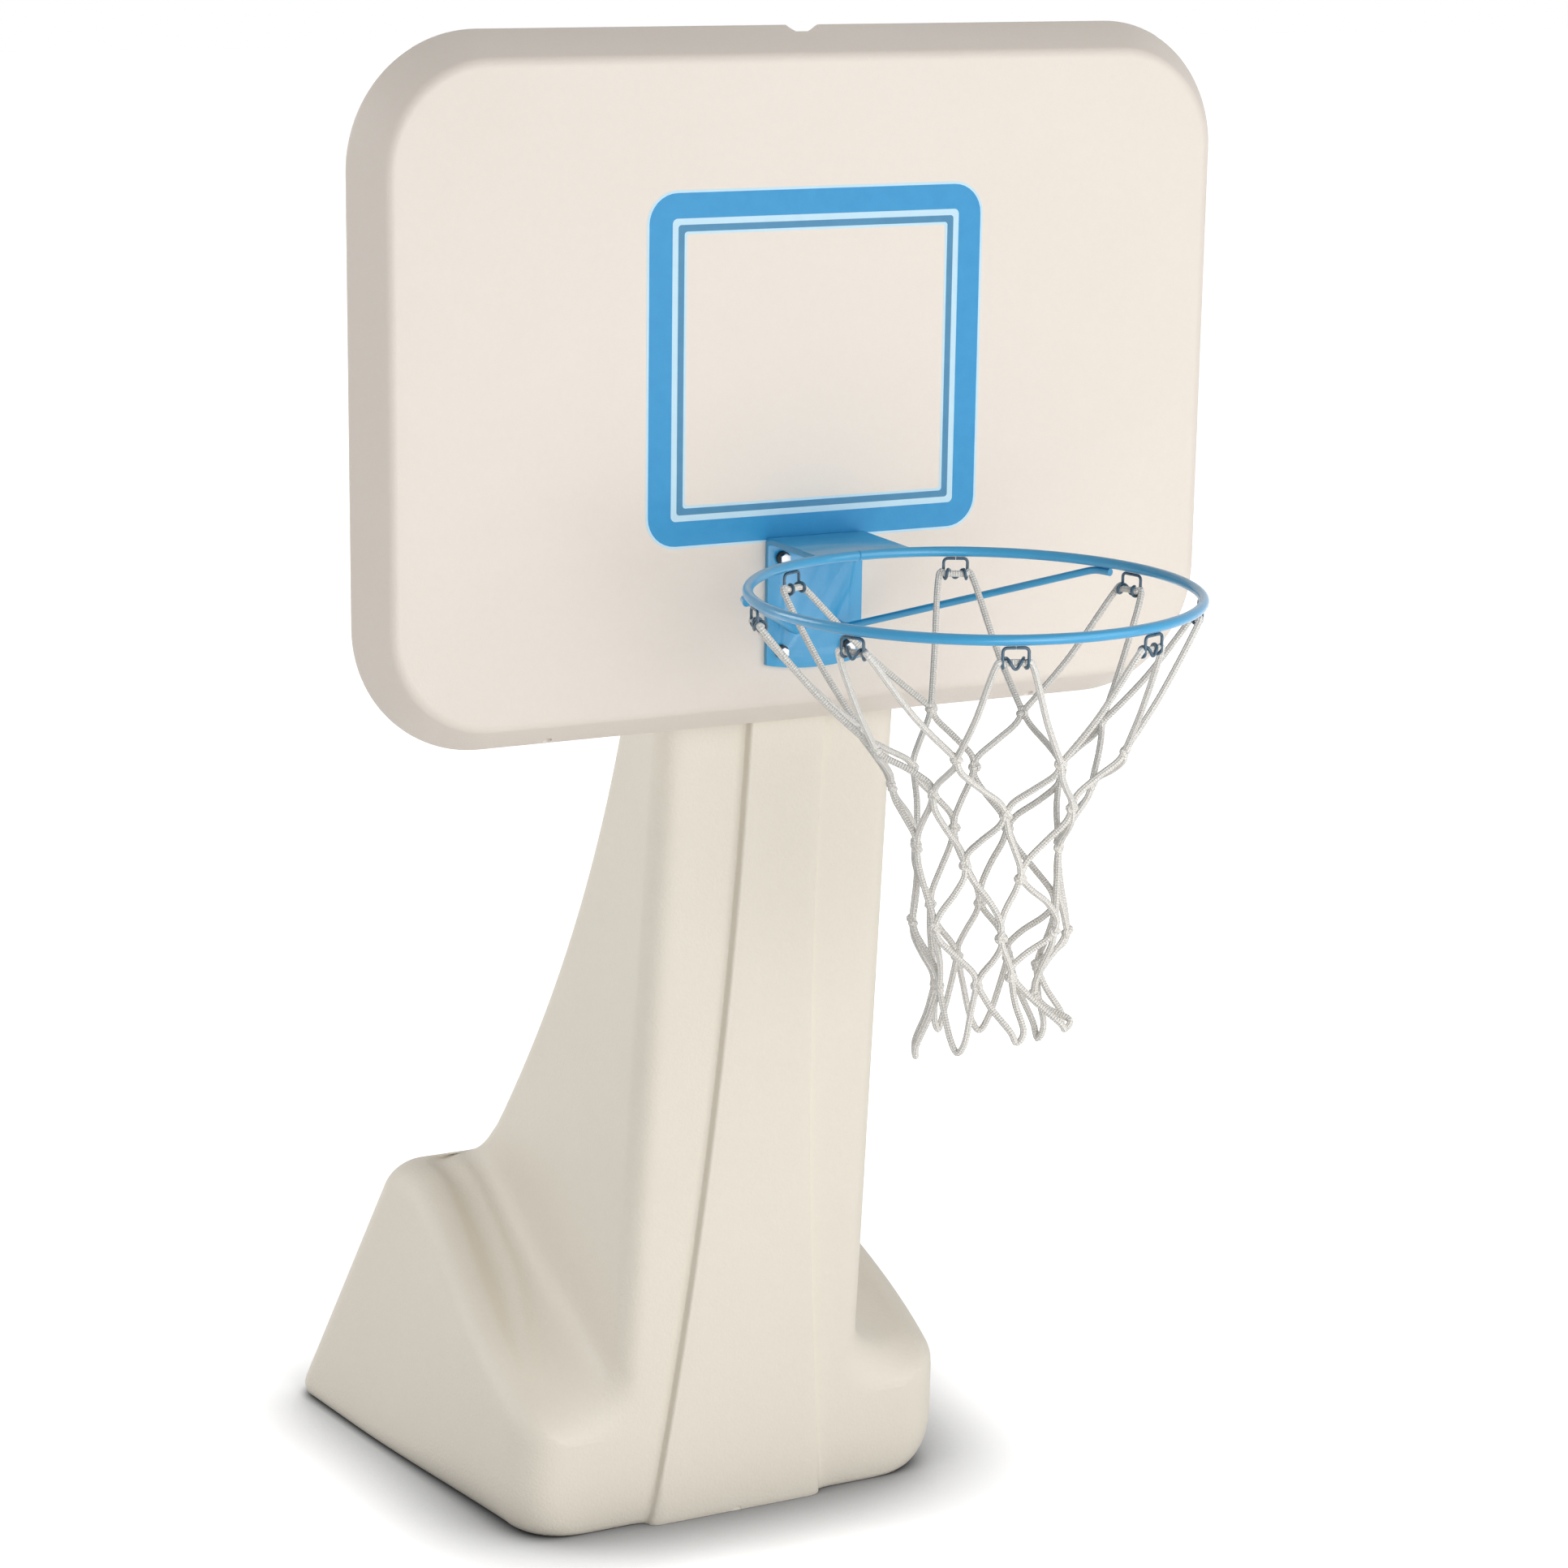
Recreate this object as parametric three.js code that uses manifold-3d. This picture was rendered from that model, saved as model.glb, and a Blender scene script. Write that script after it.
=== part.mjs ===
// Poolside basketball hoop: a hollow stand weighted with water, a hollow backboard
// and a steel rod rim with a cord net. Millimetres, +Z up, floor at z = 0.
// The rim points towards -Y and the front face of the backboard is at y = 0.
import * as THREE from 'three';
import { mergeVertices } from 'three/addons/utils/BufferGeometryUtils.js';
import Module from 'manifold-3d';

const wasm = await Module();
wasm.setup();

// Clearance between pieces that touch, and how far a cutter overruns its cut
const fitGap = 0.3;
const cutOverrun = 2;

// Backboard: a hollow slab whose border slopes out from the front face to the back
const boardWidth = 762;
const boardHeight = 559;
const boardDepth = 38;
const boardBottom = 734;
const boardCorner = 105;
const boardWall = 2.4;
const borderWidth = 22;
const borderFrontRound = 7;
const borderBackRound = 5;
const notchWidth = 29;
const notchDrop = 7;
const notchDepth = 12;
const weepBore = 8;
const weepSpacing = 440;
const weepSetback = 28;

// Printed target: a pale ground, a broad band and a fine line inside it
const targetWidth = 292;
const targetHeight = 277;
const targetTopRise = 434.4;
const targetCorner = 24;
const bandWidth = 19.7;
const lineGap = 5;
const lineWidth = 5.2;
const groundMargin = 2;
const groundThickness = 0.15;
const inkThickness = 0.15;

// Rim: a closed ring of rod
const rimRadius = 169.2;
const rimRod = 8;
const rimReach = 265.4;
const rimRise = 159.3;

// Bracket: a folded steel angle between the backboard and the back of the rim
const bracketWidth = 85;
const bracketEndWidth = 87;
const bracketOverRim = 0.5;
const bracketDrop = 104;
const bracketBow = 4.6;
const bracketSheet = 4.8;
const bracketFold = 7;

// Braces: a rod under each side of the rim
const braceRod = 6;
const braceFootSpread = 22;
const braceFootDrop = 74.8;
const braceBend = 25;
const braceLapOutset = 1;
const braceBendOutset = 3;
const braceEndAngleShare = 22.7 / 360;
const braceBendAngleShare = 28 / 360;

// Net hooks: one bent wire each, with two coils that the cord runs through
const hookAngleShares = [0.042, 0.183, 0.325, 0.467, 0.583, 0.696, 0.805, 0.935];
const hookWire = 2.4;
const hookWidth = 18.8;
const hookCorner = 3.2;
const hookDrop = 11.8;
const coilRadius = 3.9;
const coilStep = 4.1;
const veeStartShare = 3 / 4;
const veeRun = 8;
const veeDrop = 15.4;
const veeHalf = 1.5;
const veeRise = 0.7;
const hookSplit = 0.5;

// Net: knots in rows below the rim
const cordDiameter = 4.8;
const knotSize = 8.4;
const cordBend = 14.5;
const loopBend = 9;
const loopRise = 6;
const netDrop = 360;
const netSwayX = 19;
const netSwayY = 1.4;
const rowDropShares = [0.308, 0.411, 0.544, 0.71, 0.816, 1];
const rowRadiusShares = [0.605, 0.441, 0.338, 0.338, 0.256, 0.318];

// Bolts through bracket and backboard into threaded inserts in the column
const boltSpacing = 60;
const boltUpperDrop = 16.8;
const boltLowerDrop = 93.3;
const boltDiameter = 5;
const boltHeadFlats = 8;
const boltHeadHeight = 3.5;
const boltReach = 18;
const spacerDiameter = 11;
const spacerThickness = 4;
const insertDiameter = 11;
const insertLength = 22;
const bossWall = 6;

// Column: a proud front panel, and a back that flares down to the tank
const baseWall = 6;
const panelHeadHalf = 34;
const panelFootHalf = 83;
const panelFootSetback = 114.3;
const panelStep = 8;
const panelRound = 2.5;
const panelStepDraft = 0.6;
const panelStepFillet = 1.2;
const padRamp = 11;
const columnHeadHalf = 110;
const columnFootHalf = 120;
const columnRearHalf = 103;
const columnFrontCorner = 16;
const columnRearCorner = 25;
const columnRise = 226;
const columnTopRound = 15;
const neckDrop = 21;
const neckSetback = 159;
const flareFoot = 249;
const flareReach = 176;
const flareCurve = 126;

// Tank: sloping shoulders with a shallow valley, up to a flat top at the rear
const tankFrontHalf = 206;
const tankRearHalf = 266;
const tankFront = 118;
const tankRear = 548;
const frontDraftShare = 0.03;
const sideDraftShare = 0.265;
const rearDraftShare = 0.27;
const shoulderHeight = 114;
const shoulderSetback = 112;
const kneeHeight = 241;
const kneeSetback = 425;
const kneeBlend = 10;
const ridgeRound = 24;
const valleyDepth = 6;
const valleyStart = 140;
const valleyFull = 300;
const filletRise = 38;
const filletRearRise = 10;
const filletFrontStartShare = 0.1;
const filletStartShare = 0.64;
const tankFrontCorner = 44;
const tankRearCorner = 32;
const tankTopCorner = 16;
const footInset = 16;
const footRise = 18;
const cornerFootInset = 13;
const frontFootInset = 7;
const frontFootRise = 52;
const panelFootRound = 3;
const panelFootEdge = 13;
const panelFootFillet = 14;
const mouldNick = 9;

// Fill cap and drain plug on the sloping rear wall, one above the other
const fillHeight = 176;
const fillBore = 50;
const fillRecess = 84;
const fillRecessDepth = 12;
const fillThread = 12;
const fillFlange = 76;
const fillFlangeThickness = 7;
const fillGripHeight = 8;
const fillGripWidth = 10;
const drainHeight = 46;
const drainBore = 20;
const drainRecess = 46;
const drainRecessDepth = 8;
const drainThread = 9;
const drainFlange = 38;
const drainFlangeThickness = 4.5;
const drainGripHeight = 6;
const drainGripWidth = 6;
const capBoreGap = 0.4;
const capStemOverrun = 2.5;
const sealThickness = 2;
const sealMargin = 1.5;
const plugBossWall = 6;

// Facet counts
const cornerSteps = 6;
const printSteps = 8;
const coilSteps = 8;
const boltSides = 16;
const hexSides = 6;
const roundSteps = 24;
const rodSides = 8;
const wireSides = 5;
const cordSides = 4;
const rimSteps = 48;
const bendSteps = 4;

const steel = { roughness: 0.35, metalness: 0.4 };
const plastic = { roughness: 0.6, metalness: 0 };
const materials = {
  cream: { color: 0xe8e0d3, ...plastic },
  creamBoard: { color: 0xece3d9, ...plastic },
  paleInk: { color: 0xc8e8f5, ...plastic },
  blueInk: { color: 0x2196cd, ...plastic },
  dullInk: { color: 0x3c82aa, ...plastic },
  blueSteel: { color: 0x4f9cc4, ...steel },
  darkSteel: { color: 0x19556e, ...steel },
  whiteCord: { color: 0xf2f2ee, roughness: 0.9, metalness: 0 },
  zinc: { color: 0xc9ccd0, roughness: 0.3, metalness: 1 },
  brass: { color: 0xb59a55, roughness: 0.35, metalness: 1 },
  blackNylon: { color: 0x24272a, roughness: 0.7, metalness: 0 },
  whitePlastic: { color: 0xe6e4df, roughness: 0.5, metalness: 0 },
  blackRubber: { color: 0x1c1c1c, roughness: 0.9, metalness: 0 },
};

const lerp = THREE.MathUtils.lerp;
const clamp = THREE.MathUtils.clamp;
const smoothstep = THREE.MathUtils.smoothstep;
const turn = 2 * Math.PI;
const quarter = Math.PI / 2;

// Solid from a closed geometry
function toSolid(geometry) {
  const bare = geometry.clone();
  bare.deleteAttribute('normal');
  bare.deleteAttribute('uv');
  const merged = mergeVertices(bare);
  return new wasm.Manifold(new wasm.Mesh({
    numProp: 3,
    vertProperties: new Float32Array(merged.attributes.position.array),
    triVerts: new Uint32Array(merged.index.array),
  }));
}

// Geometry from a solid
function toGeometry(solid) {
  const mesh = solid.getMesh();
  const geometry = new THREE.BufferGeometry();
  const position = new THREE.BufferAttribute(mesh.vertProperties, mesh.numProp);
  geometry.setAttribute('position', position);
  geometry.setIndex(new THREE.BufferAttribute(mesh.triVerts, 1));
  geometry.computeVertexNormals();
  return geometry;
}

// Closed skin through rings with as many points each, capped by a fan at both ends
function closedLoft(rings) {
  const count = rings[0].length;
  const points = rings.flat();
  const faces = [];
  for (let level = 0; level < rings.length - 1; level += 1) {
    for (let i = 0; i < count; i += 1) {
      const a = level * count + i;
      const b = level * count + (i + 1) % count;
      faces.push(a, b, b + count, a, b + count, a + count);
    }
  }
  for (const level of [0, rings.length - 1]) {
    const middle = points.length;
    const centre = new THREE.Vector3();
    rings[level].forEach((point) => centre.add(point));
    points.push(centre.divideScalar(count));
    for (let i = 0; i < count; i += 1) {
      const a = level * count + i;
      const b = level * count + (i + 1) % count;
      faces.push(middle, ...(level === 0 ? [b, a] : [a, b]));
    }
  }
  const geometry = new THREE.BufferGeometry();
  geometry.setFromPoints(points);
  geometry.setIndex(signedVolume(points, faces) < 0 ? faces.reverse() : faces);
  return geometry;
}

function signedVolume(points, faces) {
  let sum = 0;
  for (let i = 0; i < faces.length; i += 3) {
    const [a, b, c] = [points[faces[i]], points[faces[i + 1]], points[faces[i + 2]]];
    sum += a.dot(b.clone().cross(c));
  }
  return sum;
}

// Round bar along an axis of 'x', 'y' or 'z', from one end to the other
function bar(axis, radius, from, to, sides = roundSteps) {
  const geometry = new THREE.CylinderGeometry(radius, radius, to - from, sides);
  if (axis === 'x') geometry.rotateZ(quarter);
  if (axis === 'z') geometry.rotateX(quarter);
  const shift = new THREE.Vector3();
  shift[axis] = (from + to) / 2;
  return geometry.translate(shift.x, shift.y, shift.z);
}

// Bar between two points
function strut(from, to, radius, sides) {
  const along = to.clone().sub(from);
  const geometry = new THREE.CylinderGeometry(radius, radius, along.length(), sides);
  const up = new THREE.Vector3(0, 1, 0);
  const aim = new THREE.Quaternion().setFromUnitVectors(up, along.clone().normalize());
  geometry.applyQuaternion(aim);
  const middle = from.clone().add(to).divideScalar(2);
  return geometry.translate(middle.x, middle.y, middle.z);
}

// Outline of a rectangle with round corners, as points in a plane
function roundedOutline(width, height, radius, steps = cornerSteps) {
  const points = [];
  const corners = [[1, -1], [1, 1], [-1, 1], [-1, -1]];
  corners.forEach(([sideX, sideY], index) => {
    for (let i = 0; i <= steps; i += 1) {
      const angle = quarter * (index - 1 + i / steps);
      const x = sideX * (width / 2 - radius) + radius * Math.cos(angle);
      const y = sideY * (height / 2 - radius) + radius * Math.sin(angle);
      points.push(new THREE.Vector2(x, y));
    }
  });
  return points;
}

// Rod whose section is turned along with a chain of points, with flat ends
function sweepThrough(points, radius, sides) {
  const rings = [];
  const start = points[1].clone().sub(points[0]).normalize();
  const steepShare = 0.9;
  let normal = new THREE.Vector3(0, 0, 1);
  if (Math.abs(start.z) > steepShare) normal = new THREE.Vector3(1, 0, 0);
  points.forEach((point, index) => {
    const before = points[Math.max(index - 1, 0)];
    const after = points[Math.min(index + 1, points.length - 1)];
    const ahead = after.clone().sub(before).normalize();
    normal = normal.clone().addScaledVector(ahead, -normal.dot(ahead)).normalize();
    const across = ahead.clone().cross(normal);
    const ring = [];
    for (let i = 0; i < sides; i += 1) {
      const angle = turn * i / sides;
      const spoke = point.clone().addScaledVector(normal, radius * Math.cos(angle));
      ring.push(spoke.addScaledVector(across, radius * Math.sin(angle)));
    }
    rings.push(ring);
  });
  return closedLoft(rings);
}

// Points through corners given as [point, radius], with the corners rounded
function roundedChain(corners, steps) {
  const points = [corners[0][0]];
  for (let i = 1; i < corners.length - 1; i += 1) {
    const [corner, radius] = corners[i];
    const back = corners[i - 1][0].clone().sub(corner).normalize();
    const ahead = corners[i + 1][0].clone().sub(corner).normalize();
    const run = radius / Math.tan(back.angleTo(ahead) / 2);
    const start = corner.clone().addScaledVector(back, run);
    const end = corner.clone().addScaledVector(ahead, run);
    points.push(...new THREE.QuadraticBezierCurve3(start, corner, end).getPoints(steps));
  }
  points.push(corners[corners.length - 1][0]);
  return points;
}

const hoop = new THREE.Group();
hoop.name = 'poolside_basketball_hoop';

function addPiece(name, geometry, material, parent = hoop) {
  const mesh = new THREE.Mesh(geometry, new THREE.MeshStandardMaterial(materials[material]));
  mesh.name = name;
  parent.add(mesh);
  return mesh;
}

// Heights that follow the backboard
const targetTop = boardBottom + targetTopRise;
const rimHeight = boardBottom + rimRise;
const bracketTop = rimHeight + bracketOverRim;
const columnTop = boardBottom + columnRise;
const neckHeight = boardBottom - neckDrop;
const flareHeight = neckHeight - flareFoot;

// Places of the four bolts, seen from the front
const boltPlaces = [];
for (const drop of [boltUpperDrop, boltLowerDrop]) {
  for (const side of [-1, 1]) {
    boltPlaces.push({ x: side * boltSpacing / 2, z: bracketTop - drop });
  }
}

// Height of the tank's top above the floor at a distance behind the backboard
function shoulderAt(y) {
  const slopeShare = (kneeHeight - shoulderHeight) / (kneeSetback - shoulderSetback);
  const climb = shoulderHeight + slopeShare * (y - shoulderSetback);
  const flatShare = clamp((climb - kneeHeight) / (2 * kneeBlend) + 1 / 2, 0, 1);
  return lerp(climb, kneeHeight, flatShare) - kneeBlend * flatShare * (1 - flatShare);
}

// 1 at the front of the tank's sides, falling to 0 where their full draft begins
function frontShareAt(y) {
  return 1 - smoothstep(y, tankFront, kneeSetback);
}

function tankSideAt(y, z) {
  const spreadShare = (tankRearHalf - tankFrontHalf) / (tankRear - tankFront);
  const draftShare = lerp(sideDraftShare, frontDraftShare, frontShareAt(y));
  return tankFrontHalf + spreadShare * (y - tankFront) - draftShare * z;
}

const panelHeadSetback = boardDepth + fitGap;

function panelFaceAt(z) {
  return lerp(panelFootSetback, panelHeadSetback, clamp(z / boardBottom, 0, 1));
}

function panelStepAt(z) {
  return panelStep * clamp((boardBottom + padRamp - z) / padRamp, 0, 1);
}

function panelHalfAt(z) {
  const downShare = clamp(1 - z / boardBottom, 0, 1);
  return panelHeadHalf + (panelFootHalf - panelHeadHalf) * downShare ** 2;
}

function columnHalfAt(z) {
  return lerp(columnFootHalf, columnHeadHalf, clamp(z / boardBottom, 0, 1));
}

function columnBackAt(z) {
  const downShare = (neckHeight - z) / flareHeight;
  return neckSetback + flareReach * downShare + flareCurve * downShare ** 2;
}

// How far the fillet and the valley lift the tank's top, from the ridge to the column
function liftAt(acrossShare, y) {
  const bodyShare = smoothstep(y, valleyStart, valleyFull);
  const rearShare = smoothstep(y, kneeSetback, tankRear - rearDraftShare * kneeHeight);
  const startShare = lerp(filletFrontStartShare, filletStartShare, bodyShare);
  const climbShare = clamp((acrossShare - startShare) / (1 - startShare), 0, 1);
  const rise = lerp(filletRise, filletRearRise, rearShare);
  const valleyShare = Math.sin(Math.PI * clamp(acrossShare / startShare, 0, 1)) ** 2;
  const valley = valleyDepth * valleyShare * bodyShare * (1 - rearShare);
  return rise * (1 - Math.sqrt(1 - climbShare ** 2)) - valley;
}

// Stations round one half of the base, from the front middle to the rear middle
const edgeShares = [0, 0.5, 1];
const filletShares = [0, 1];
const arcShares = [0, 0.25, 0.5, 0.75, 1];
const sideShares = [0.14, 0.3, 0.48, 0.66, 0.82, 0.93];
const stations = [
  { zone: 'panel' },
  ...edgeShares.map((share) => ({ zone: 'panelEdge', angle: quarter * share })),
  ...filletShares.map((share) => ({ zone: 'panelStep', angle: quarter * share })),
  { zone: 'flank' },
  ...arcShares.map((share) => ({ zone: 'frontCorner', angle: quarter * (share - 1) })),
  ...sideShares.map((share) => ({ zone: 'side', share })),
  ...arcShares.map((share) => ({ zone: 'rearCorner', angle: quarter * share })),
  { zone: 'rear', share: 0.5 },
  { zone: 'rear', share: 0 },
];

// Plan of the tank or of the column at one station and height
function planPoint(station, z, shape, insets) {
  const face = panelFaceAt(z) + insets.panel;
  const flank = panelFaceAt(z) + panelStepAt(z) + insets.flank;
  const edge = panelHalfAt(z) - insets.skin;
  const footShare = 1 - smoothstep(z, 0, frontFootRise);
  const edgeRound = lerp(panelRound, panelFootEdge, footShare);
  const fillet = lerp(panelStepFillet, panelFootFillet, footShare);
  const edgeDepth = Math.min(edgeRound, (flank - face) / 2);
  const filletDepth = Math.min(fillet, (flank - face) / 3);
  const frontRadius = shape.frontCorner;
  const rearRadius = shape.rearCorner;
  const rear = shape.rearAt(z);
  const frontMiddle = shape.sideAt(flank + frontRadius, z) - frontRadius;
  const rearMiddle = shape.sideAt(rear - rearRadius, z) - rearRadius;
  switch (station.zone) {
    case 'panel':
      return [0, face];
    case 'panelEdge':
      return [
        edge - edgeRound * (1 - Math.sin(station.angle)),
        face + edgeDepth * (1 - Math.cos(station.angle)),
      ];
    case 'panelStep':
      return [
        edge + panelStepDraft + fillet * (1 - Math.cos(station.angle)),
        flank - filletDepth * (1 - Math.sin(station.angle)),
      ];
    case 'flank':
      return [(edge + fillet + frontMiddle) / 2, flank];
    case 'frontCorner':
      return [
        frontMiddle + frontRadius * Math.cos(station.angle),
        flank + frontRadius * (1 + Math.sin(station.angle)),
      ];
    case 'side': {
      const y = lerp(flank + frontRadius, rear - rearRadius, station.share);
      return [shape.sideAt(y, z), y];
    }
    case 'rearCorner':
      return [
        rearMiddle + rearRadius * Math.cos(station.angle),
        rear - rearRadius * (1 - Math.sin(station.angle)),
      ];
    default:
      return [rearMiddle * station.share, rear];
  }
}

function tankShape(inset, cornerInset, skin) {
  return {
    frontCorner: tankFrontCorner - skin,
    rearCorner: Math.max(tankRearCorner - inset, tankTopCorner) - skin,
    rearAt: (z) => tankRear - rearDraftShare * z - inset - skin,
    sideAt: (y, z) => tankSideAt(y, z) - inset - cornerInset * frontShareAt(y) - skin,
  };
}

function columnShape(inset, skin) {
  return {
    frontCorner: columnFrontCorner - skin,
    rearCorner: Math.max(columnRearCorner - inset, tankTopCorner) - skin,
    rearAt: (z) => columnBackAt(z) - inset - skin,
    sideAt: (y, z) => {
      const flank = panelFaceAt(z) + panelStepAt(z);
      const backShare = (y - flank) / (columnBackAt(z) - flank);
      return lerp(columnHalfAt(z), columnRearHalf, clamp(backShare, 0, 1)) - inset - skin;
    },
  };
}

// How much lower the front-top edge of the tank lies at a station, as a share of its round
function frontDropShare(station) {
  if (station.zone === 'frontCorner') return 1 - Math.cos(station.angle);
  return ['side', 'rearCorner', 'rear'].includes(station.zone) ? 0 : 1;
}

// One level of the base: blend from tank to column, height at each station, insets
function baseRing(level, skin) {
  const tank = tankShape(level.inset, level.cornerInset ?? 0, skin);
  const column = columnShape(level.columnInset ?? 0, skin);
  const insets = {
    skin,
    panel: skin + (level.panelInset ?? 0),
    flank: skin + (level.flankInset ?? 0),
  };
  const half = stations.map((station) => {
    let z = level.startHeight;
    let x;
    let y;
    for (let pass = 0; pass < 4; pass += 1) {
      const [tankX, tankY] = planPoint(station, z, tank, insets);
      const [columnX, columnY] = planPoint(station, z, column, insets);
      x = lerp(tankX, columnX, level.blend);
      y = lerp(tankY, columnY, level.blend);
      z = level.heightAt(y, frontDropShare(station));
    }
    return new THREE.Vector3(x, y, z);
  });
  const mirrored = half.slice(1, -1).reverse().map((p) => new THREE.Vector3(-p.x, p.y, p.z));
  return [...half, ...mirrored];
}

// Levels from the floor to the top of the column; a skin leaves that much wall outside
function baseLevels(skin) {
  const levels = [];
  const topAt = (y, dropShare) => shoulderAt(y) - skin - ridgeRound * dropShare;
  const roundShares = skin > 0 ? [0, 1] : [0, 0.5, 1];
  const wallShares = skin > 0 ? [0.5] : [0.35, 0.7];
  const shoulderShares = [0.2, 0.42, 0.64, 0.8, 0.92, 1];
  const columnShares = [0.08, 0.2, 0.36, 0.55, 0.77, 1];
  const footTop = (y, frontShare) => {
    return lerp(footRise, frontFootRise, Math.max(frontShare, frontShareAt(y)));
  };
  for (const share of roundShares) {
    const climb = 1 - Math.cos(quarter * share);
    const retreat = 1 - Math.sin(quarter * share);
    levels.push({
      blend: 0, startHeight: skin,
      inset: (footInset - skin) * retreat,
      cornerInset: cornerFootInset * retreat,
      panelInset: panelFootRound * retreat,
      flankInset: frontFootInset * retreat,
      heightAt: (y, frontShare) => lerp(skin, footTop(y, frontShare), climb),
    });
  }
  for (const share of wallShares) {
    levels.push({
      blend: 0, inset: 0, startHeight: shoulderHeight,
      heightAt: (y, frontShare) => lerp(footTop(y, frontShare), topAt(y, 1), share),
    });
  }
  for (const share of roundShares) {
    const dropShare = 1 - Math.sin(quarter * share);
    levels.push({
      blend: 0, inset: ridgeRound * (1 - Math.cos(quarter * share)),
      startHeight: shoulderHeight,
      heightAt: (y, frontShare) => topAt(y, Math.max(dropShare, frontShare)),
    });
  }
  for (const share of shoulderShares) {
    levels.push({
      blend: share, inset: ridgeRound, startHeight: shoulderHeight,
      heightAt: (y, frontShare) => topAt(y, frontShare) + liftAt(share, y),
    });
  }
  for (const share of columnShares) {
    levels.push({
      blend: 1, inset: ridgeRound, startHeight: kneeHeight,
      heightAt: (y, frontShare) => {
        return lerp(topAt(y, frontShare) + liftAt(1, y), boardBottom, share);
      },
    });
  }
  const padTop = columnTop - skin;
  const topRound = columnTopRound - skin;
  for (const share of roundShares) {
    const z = padTop - topRound * (1 - Math.sin(quarter * share));
    const inset = topRound * (1 - Math.cos(quarter * share));
    if (share === 0) {
      const rampTop = boardBottom + padRamp;
      levels.push({ blend: 1, inset: 0, startHeight: rampTop, heightAt: () => rampTop });
    }
    levels.push({
      blend: 1, inset: 0, columnInset: inset, panelInset: inset, flankInset: inset,
      startHeight: z, heightAt: () => z,
    });
  }
  return levels;
}

function baseSkin(skin) {
  return toSolid(closedLoft(baseLevels(skin).map((level) => baseRing(level, skin))));
}

// Frame on the rear wall at a height: its +Z points straight out of the wall
function rearWallFrame(height) {
  const tilt = -Math.atan(1 / rearDraftShare);
  const matrix = new THREE.Matrix4().makeRotationX(tilt);
  return matrix.setPosition(0, tankRear - rearDraftShare * height, height);
}

const fill = {
  frame: rearWallFrame(fillHeight),
  bore: fillBore / 2,
  recess: fillRecess / 2,
  recessDepth: fillRecessDepth,
  thread: fillThread,
  flange: fillFlange / 2,
  flangeThickness: fillFlangeThickness,
  gripHeight: fillGripHeight,
  gripWidth: fillGripWidth,
};

const drain = {
  frame: rearWallFrame(drainHeight),
  bore: drainBore / 2,
  recess: drainRecess / 2,
  recessDepth: drainRecessDepth,
  thread: drainThread,
  flange: drainFlange / 2,
  flangeThickness: drainFlangeThickness,
  gripHeight: drainGripHeight,
  gripWidth: drainGripWidth,
};

// Cutters and inner walls of one plug seat in the rear wall
function plugSeat(plug) {
  const inner = plug.recessDepth + plug.thread;
  const at = (geometry) => toSolid(geometry.applyMatrix4(plug.frame));
  return {
    cup: at(bar('z', plug.recess + baseWall, -plug.recessDepth - baseWall, cutOverrun)),
    boss: at(bar('z', plug.bore + plugBossWall, -inner, 0)),
    recess: at(bar('z', plug.recess, -plug.recessDepth, plug.recess)),
    bore: at(bar('z', plug.bore, -inner - cutOverrun, 0)),
  };
}

function makeBase() {
  const seats = [plugSeat(fill), plugSeat(drain)];
  let hollow = baseSkin(baseWall);
  for (const seat of seats) {
    hollow = hollow.subtract(seat.cup).subtract(seat.boss);
  }
  const padBack = panelHeadSetback + insertLength + bossWall;
  for (const place of boltPlaces) {
    const boss = bar('y', insertDiameter / 2 + bossWall, 0, padBack);
    hollow = hollow.subtract(toSolid(boss.translate(place.x, 0, place.z)));
  }
  let shell = baseSkin(0).subtract(hollow);
  for (const seat of seats) {
    shell = shell.subtract(seat.recess).subtract(seat.bore);
  }
  for (const place of boltPlaces) {
    const seatBack = panelHeadSetback + insertLength + fitGap;
    const seat = bar('y', insertDiameter / 2 + fitGap, 0, seatBack);
    shell = shell.subtract(toSolid(seat.translate(place.x, 0, place.z)));
  }
  const nickFront = panelFootSetback - cutOverrun;
  const nick = bar('y', mouldNick / 2, nickFront, panelFootSetback + panelFootRound);
  shell = shell.subtract(toSolid(nick));
  addPiece('base_shell', toGeometry(shell), 'cream');
}

// Plug with a flange, a grip across it and a stem in the bore
function plugBody(plug) {
  const seatTop = -plug.recessDepth + fitGap + sealThickness + fitGap;
  const flangeTop = seatTop + plug.flangeThickness;
  const stemFoot = -plug.recessDepth - plug.thread - capStemOverrun;
  const stem = toSolid(bar('z', plug.bore - capBoreGap, stemFoot, flangeTop));
  const flange = toSolid(bar('z', plug.flange, seatTop, flangeTop));
  const gripSpan = 2 * plug.flange - plug.gripWidth;
  const gripTall = plug.gripHeight + plug.flangeThickness / 2;
  const grip = new THREE.BoxGeometry(gripSpan, plug.gripWidth, gripTall);
  grip.translate(0, 0, flangeTop + plug.gripHeight - gripTall / 2);
  return toGeometry(stem.add(flange).add(toSolid(grip)));
}

function sealBody(plug) {
  const outer = plug.flange - sealMargin;
  const inner = plug.bore + fitGap;
  const foot = -plug.recessDepth + fitGap;
  const top = foot + sealThickness;
  const profile = [[inner, foot], [outer, foot], [outer, top], [inner, top], [inner, foot]];
  const points = profile.map(([radius, height]) => new THREE.Vector2(radius, height));
  return new THREE.LatheGeometry(points, roundSteps).rotateX(quarter);
}

function makePlug(name, sealName, plug, material) {
  const seat = new THREE.Group();
  seat.applyMatrix4(plug.frame);
  hoop.add(seat);
  addPiece(name, plugBody(plug), material, seat);
  addPiece(sealName, sealBody(plug), 'blackRubber', seat);
}

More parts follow.
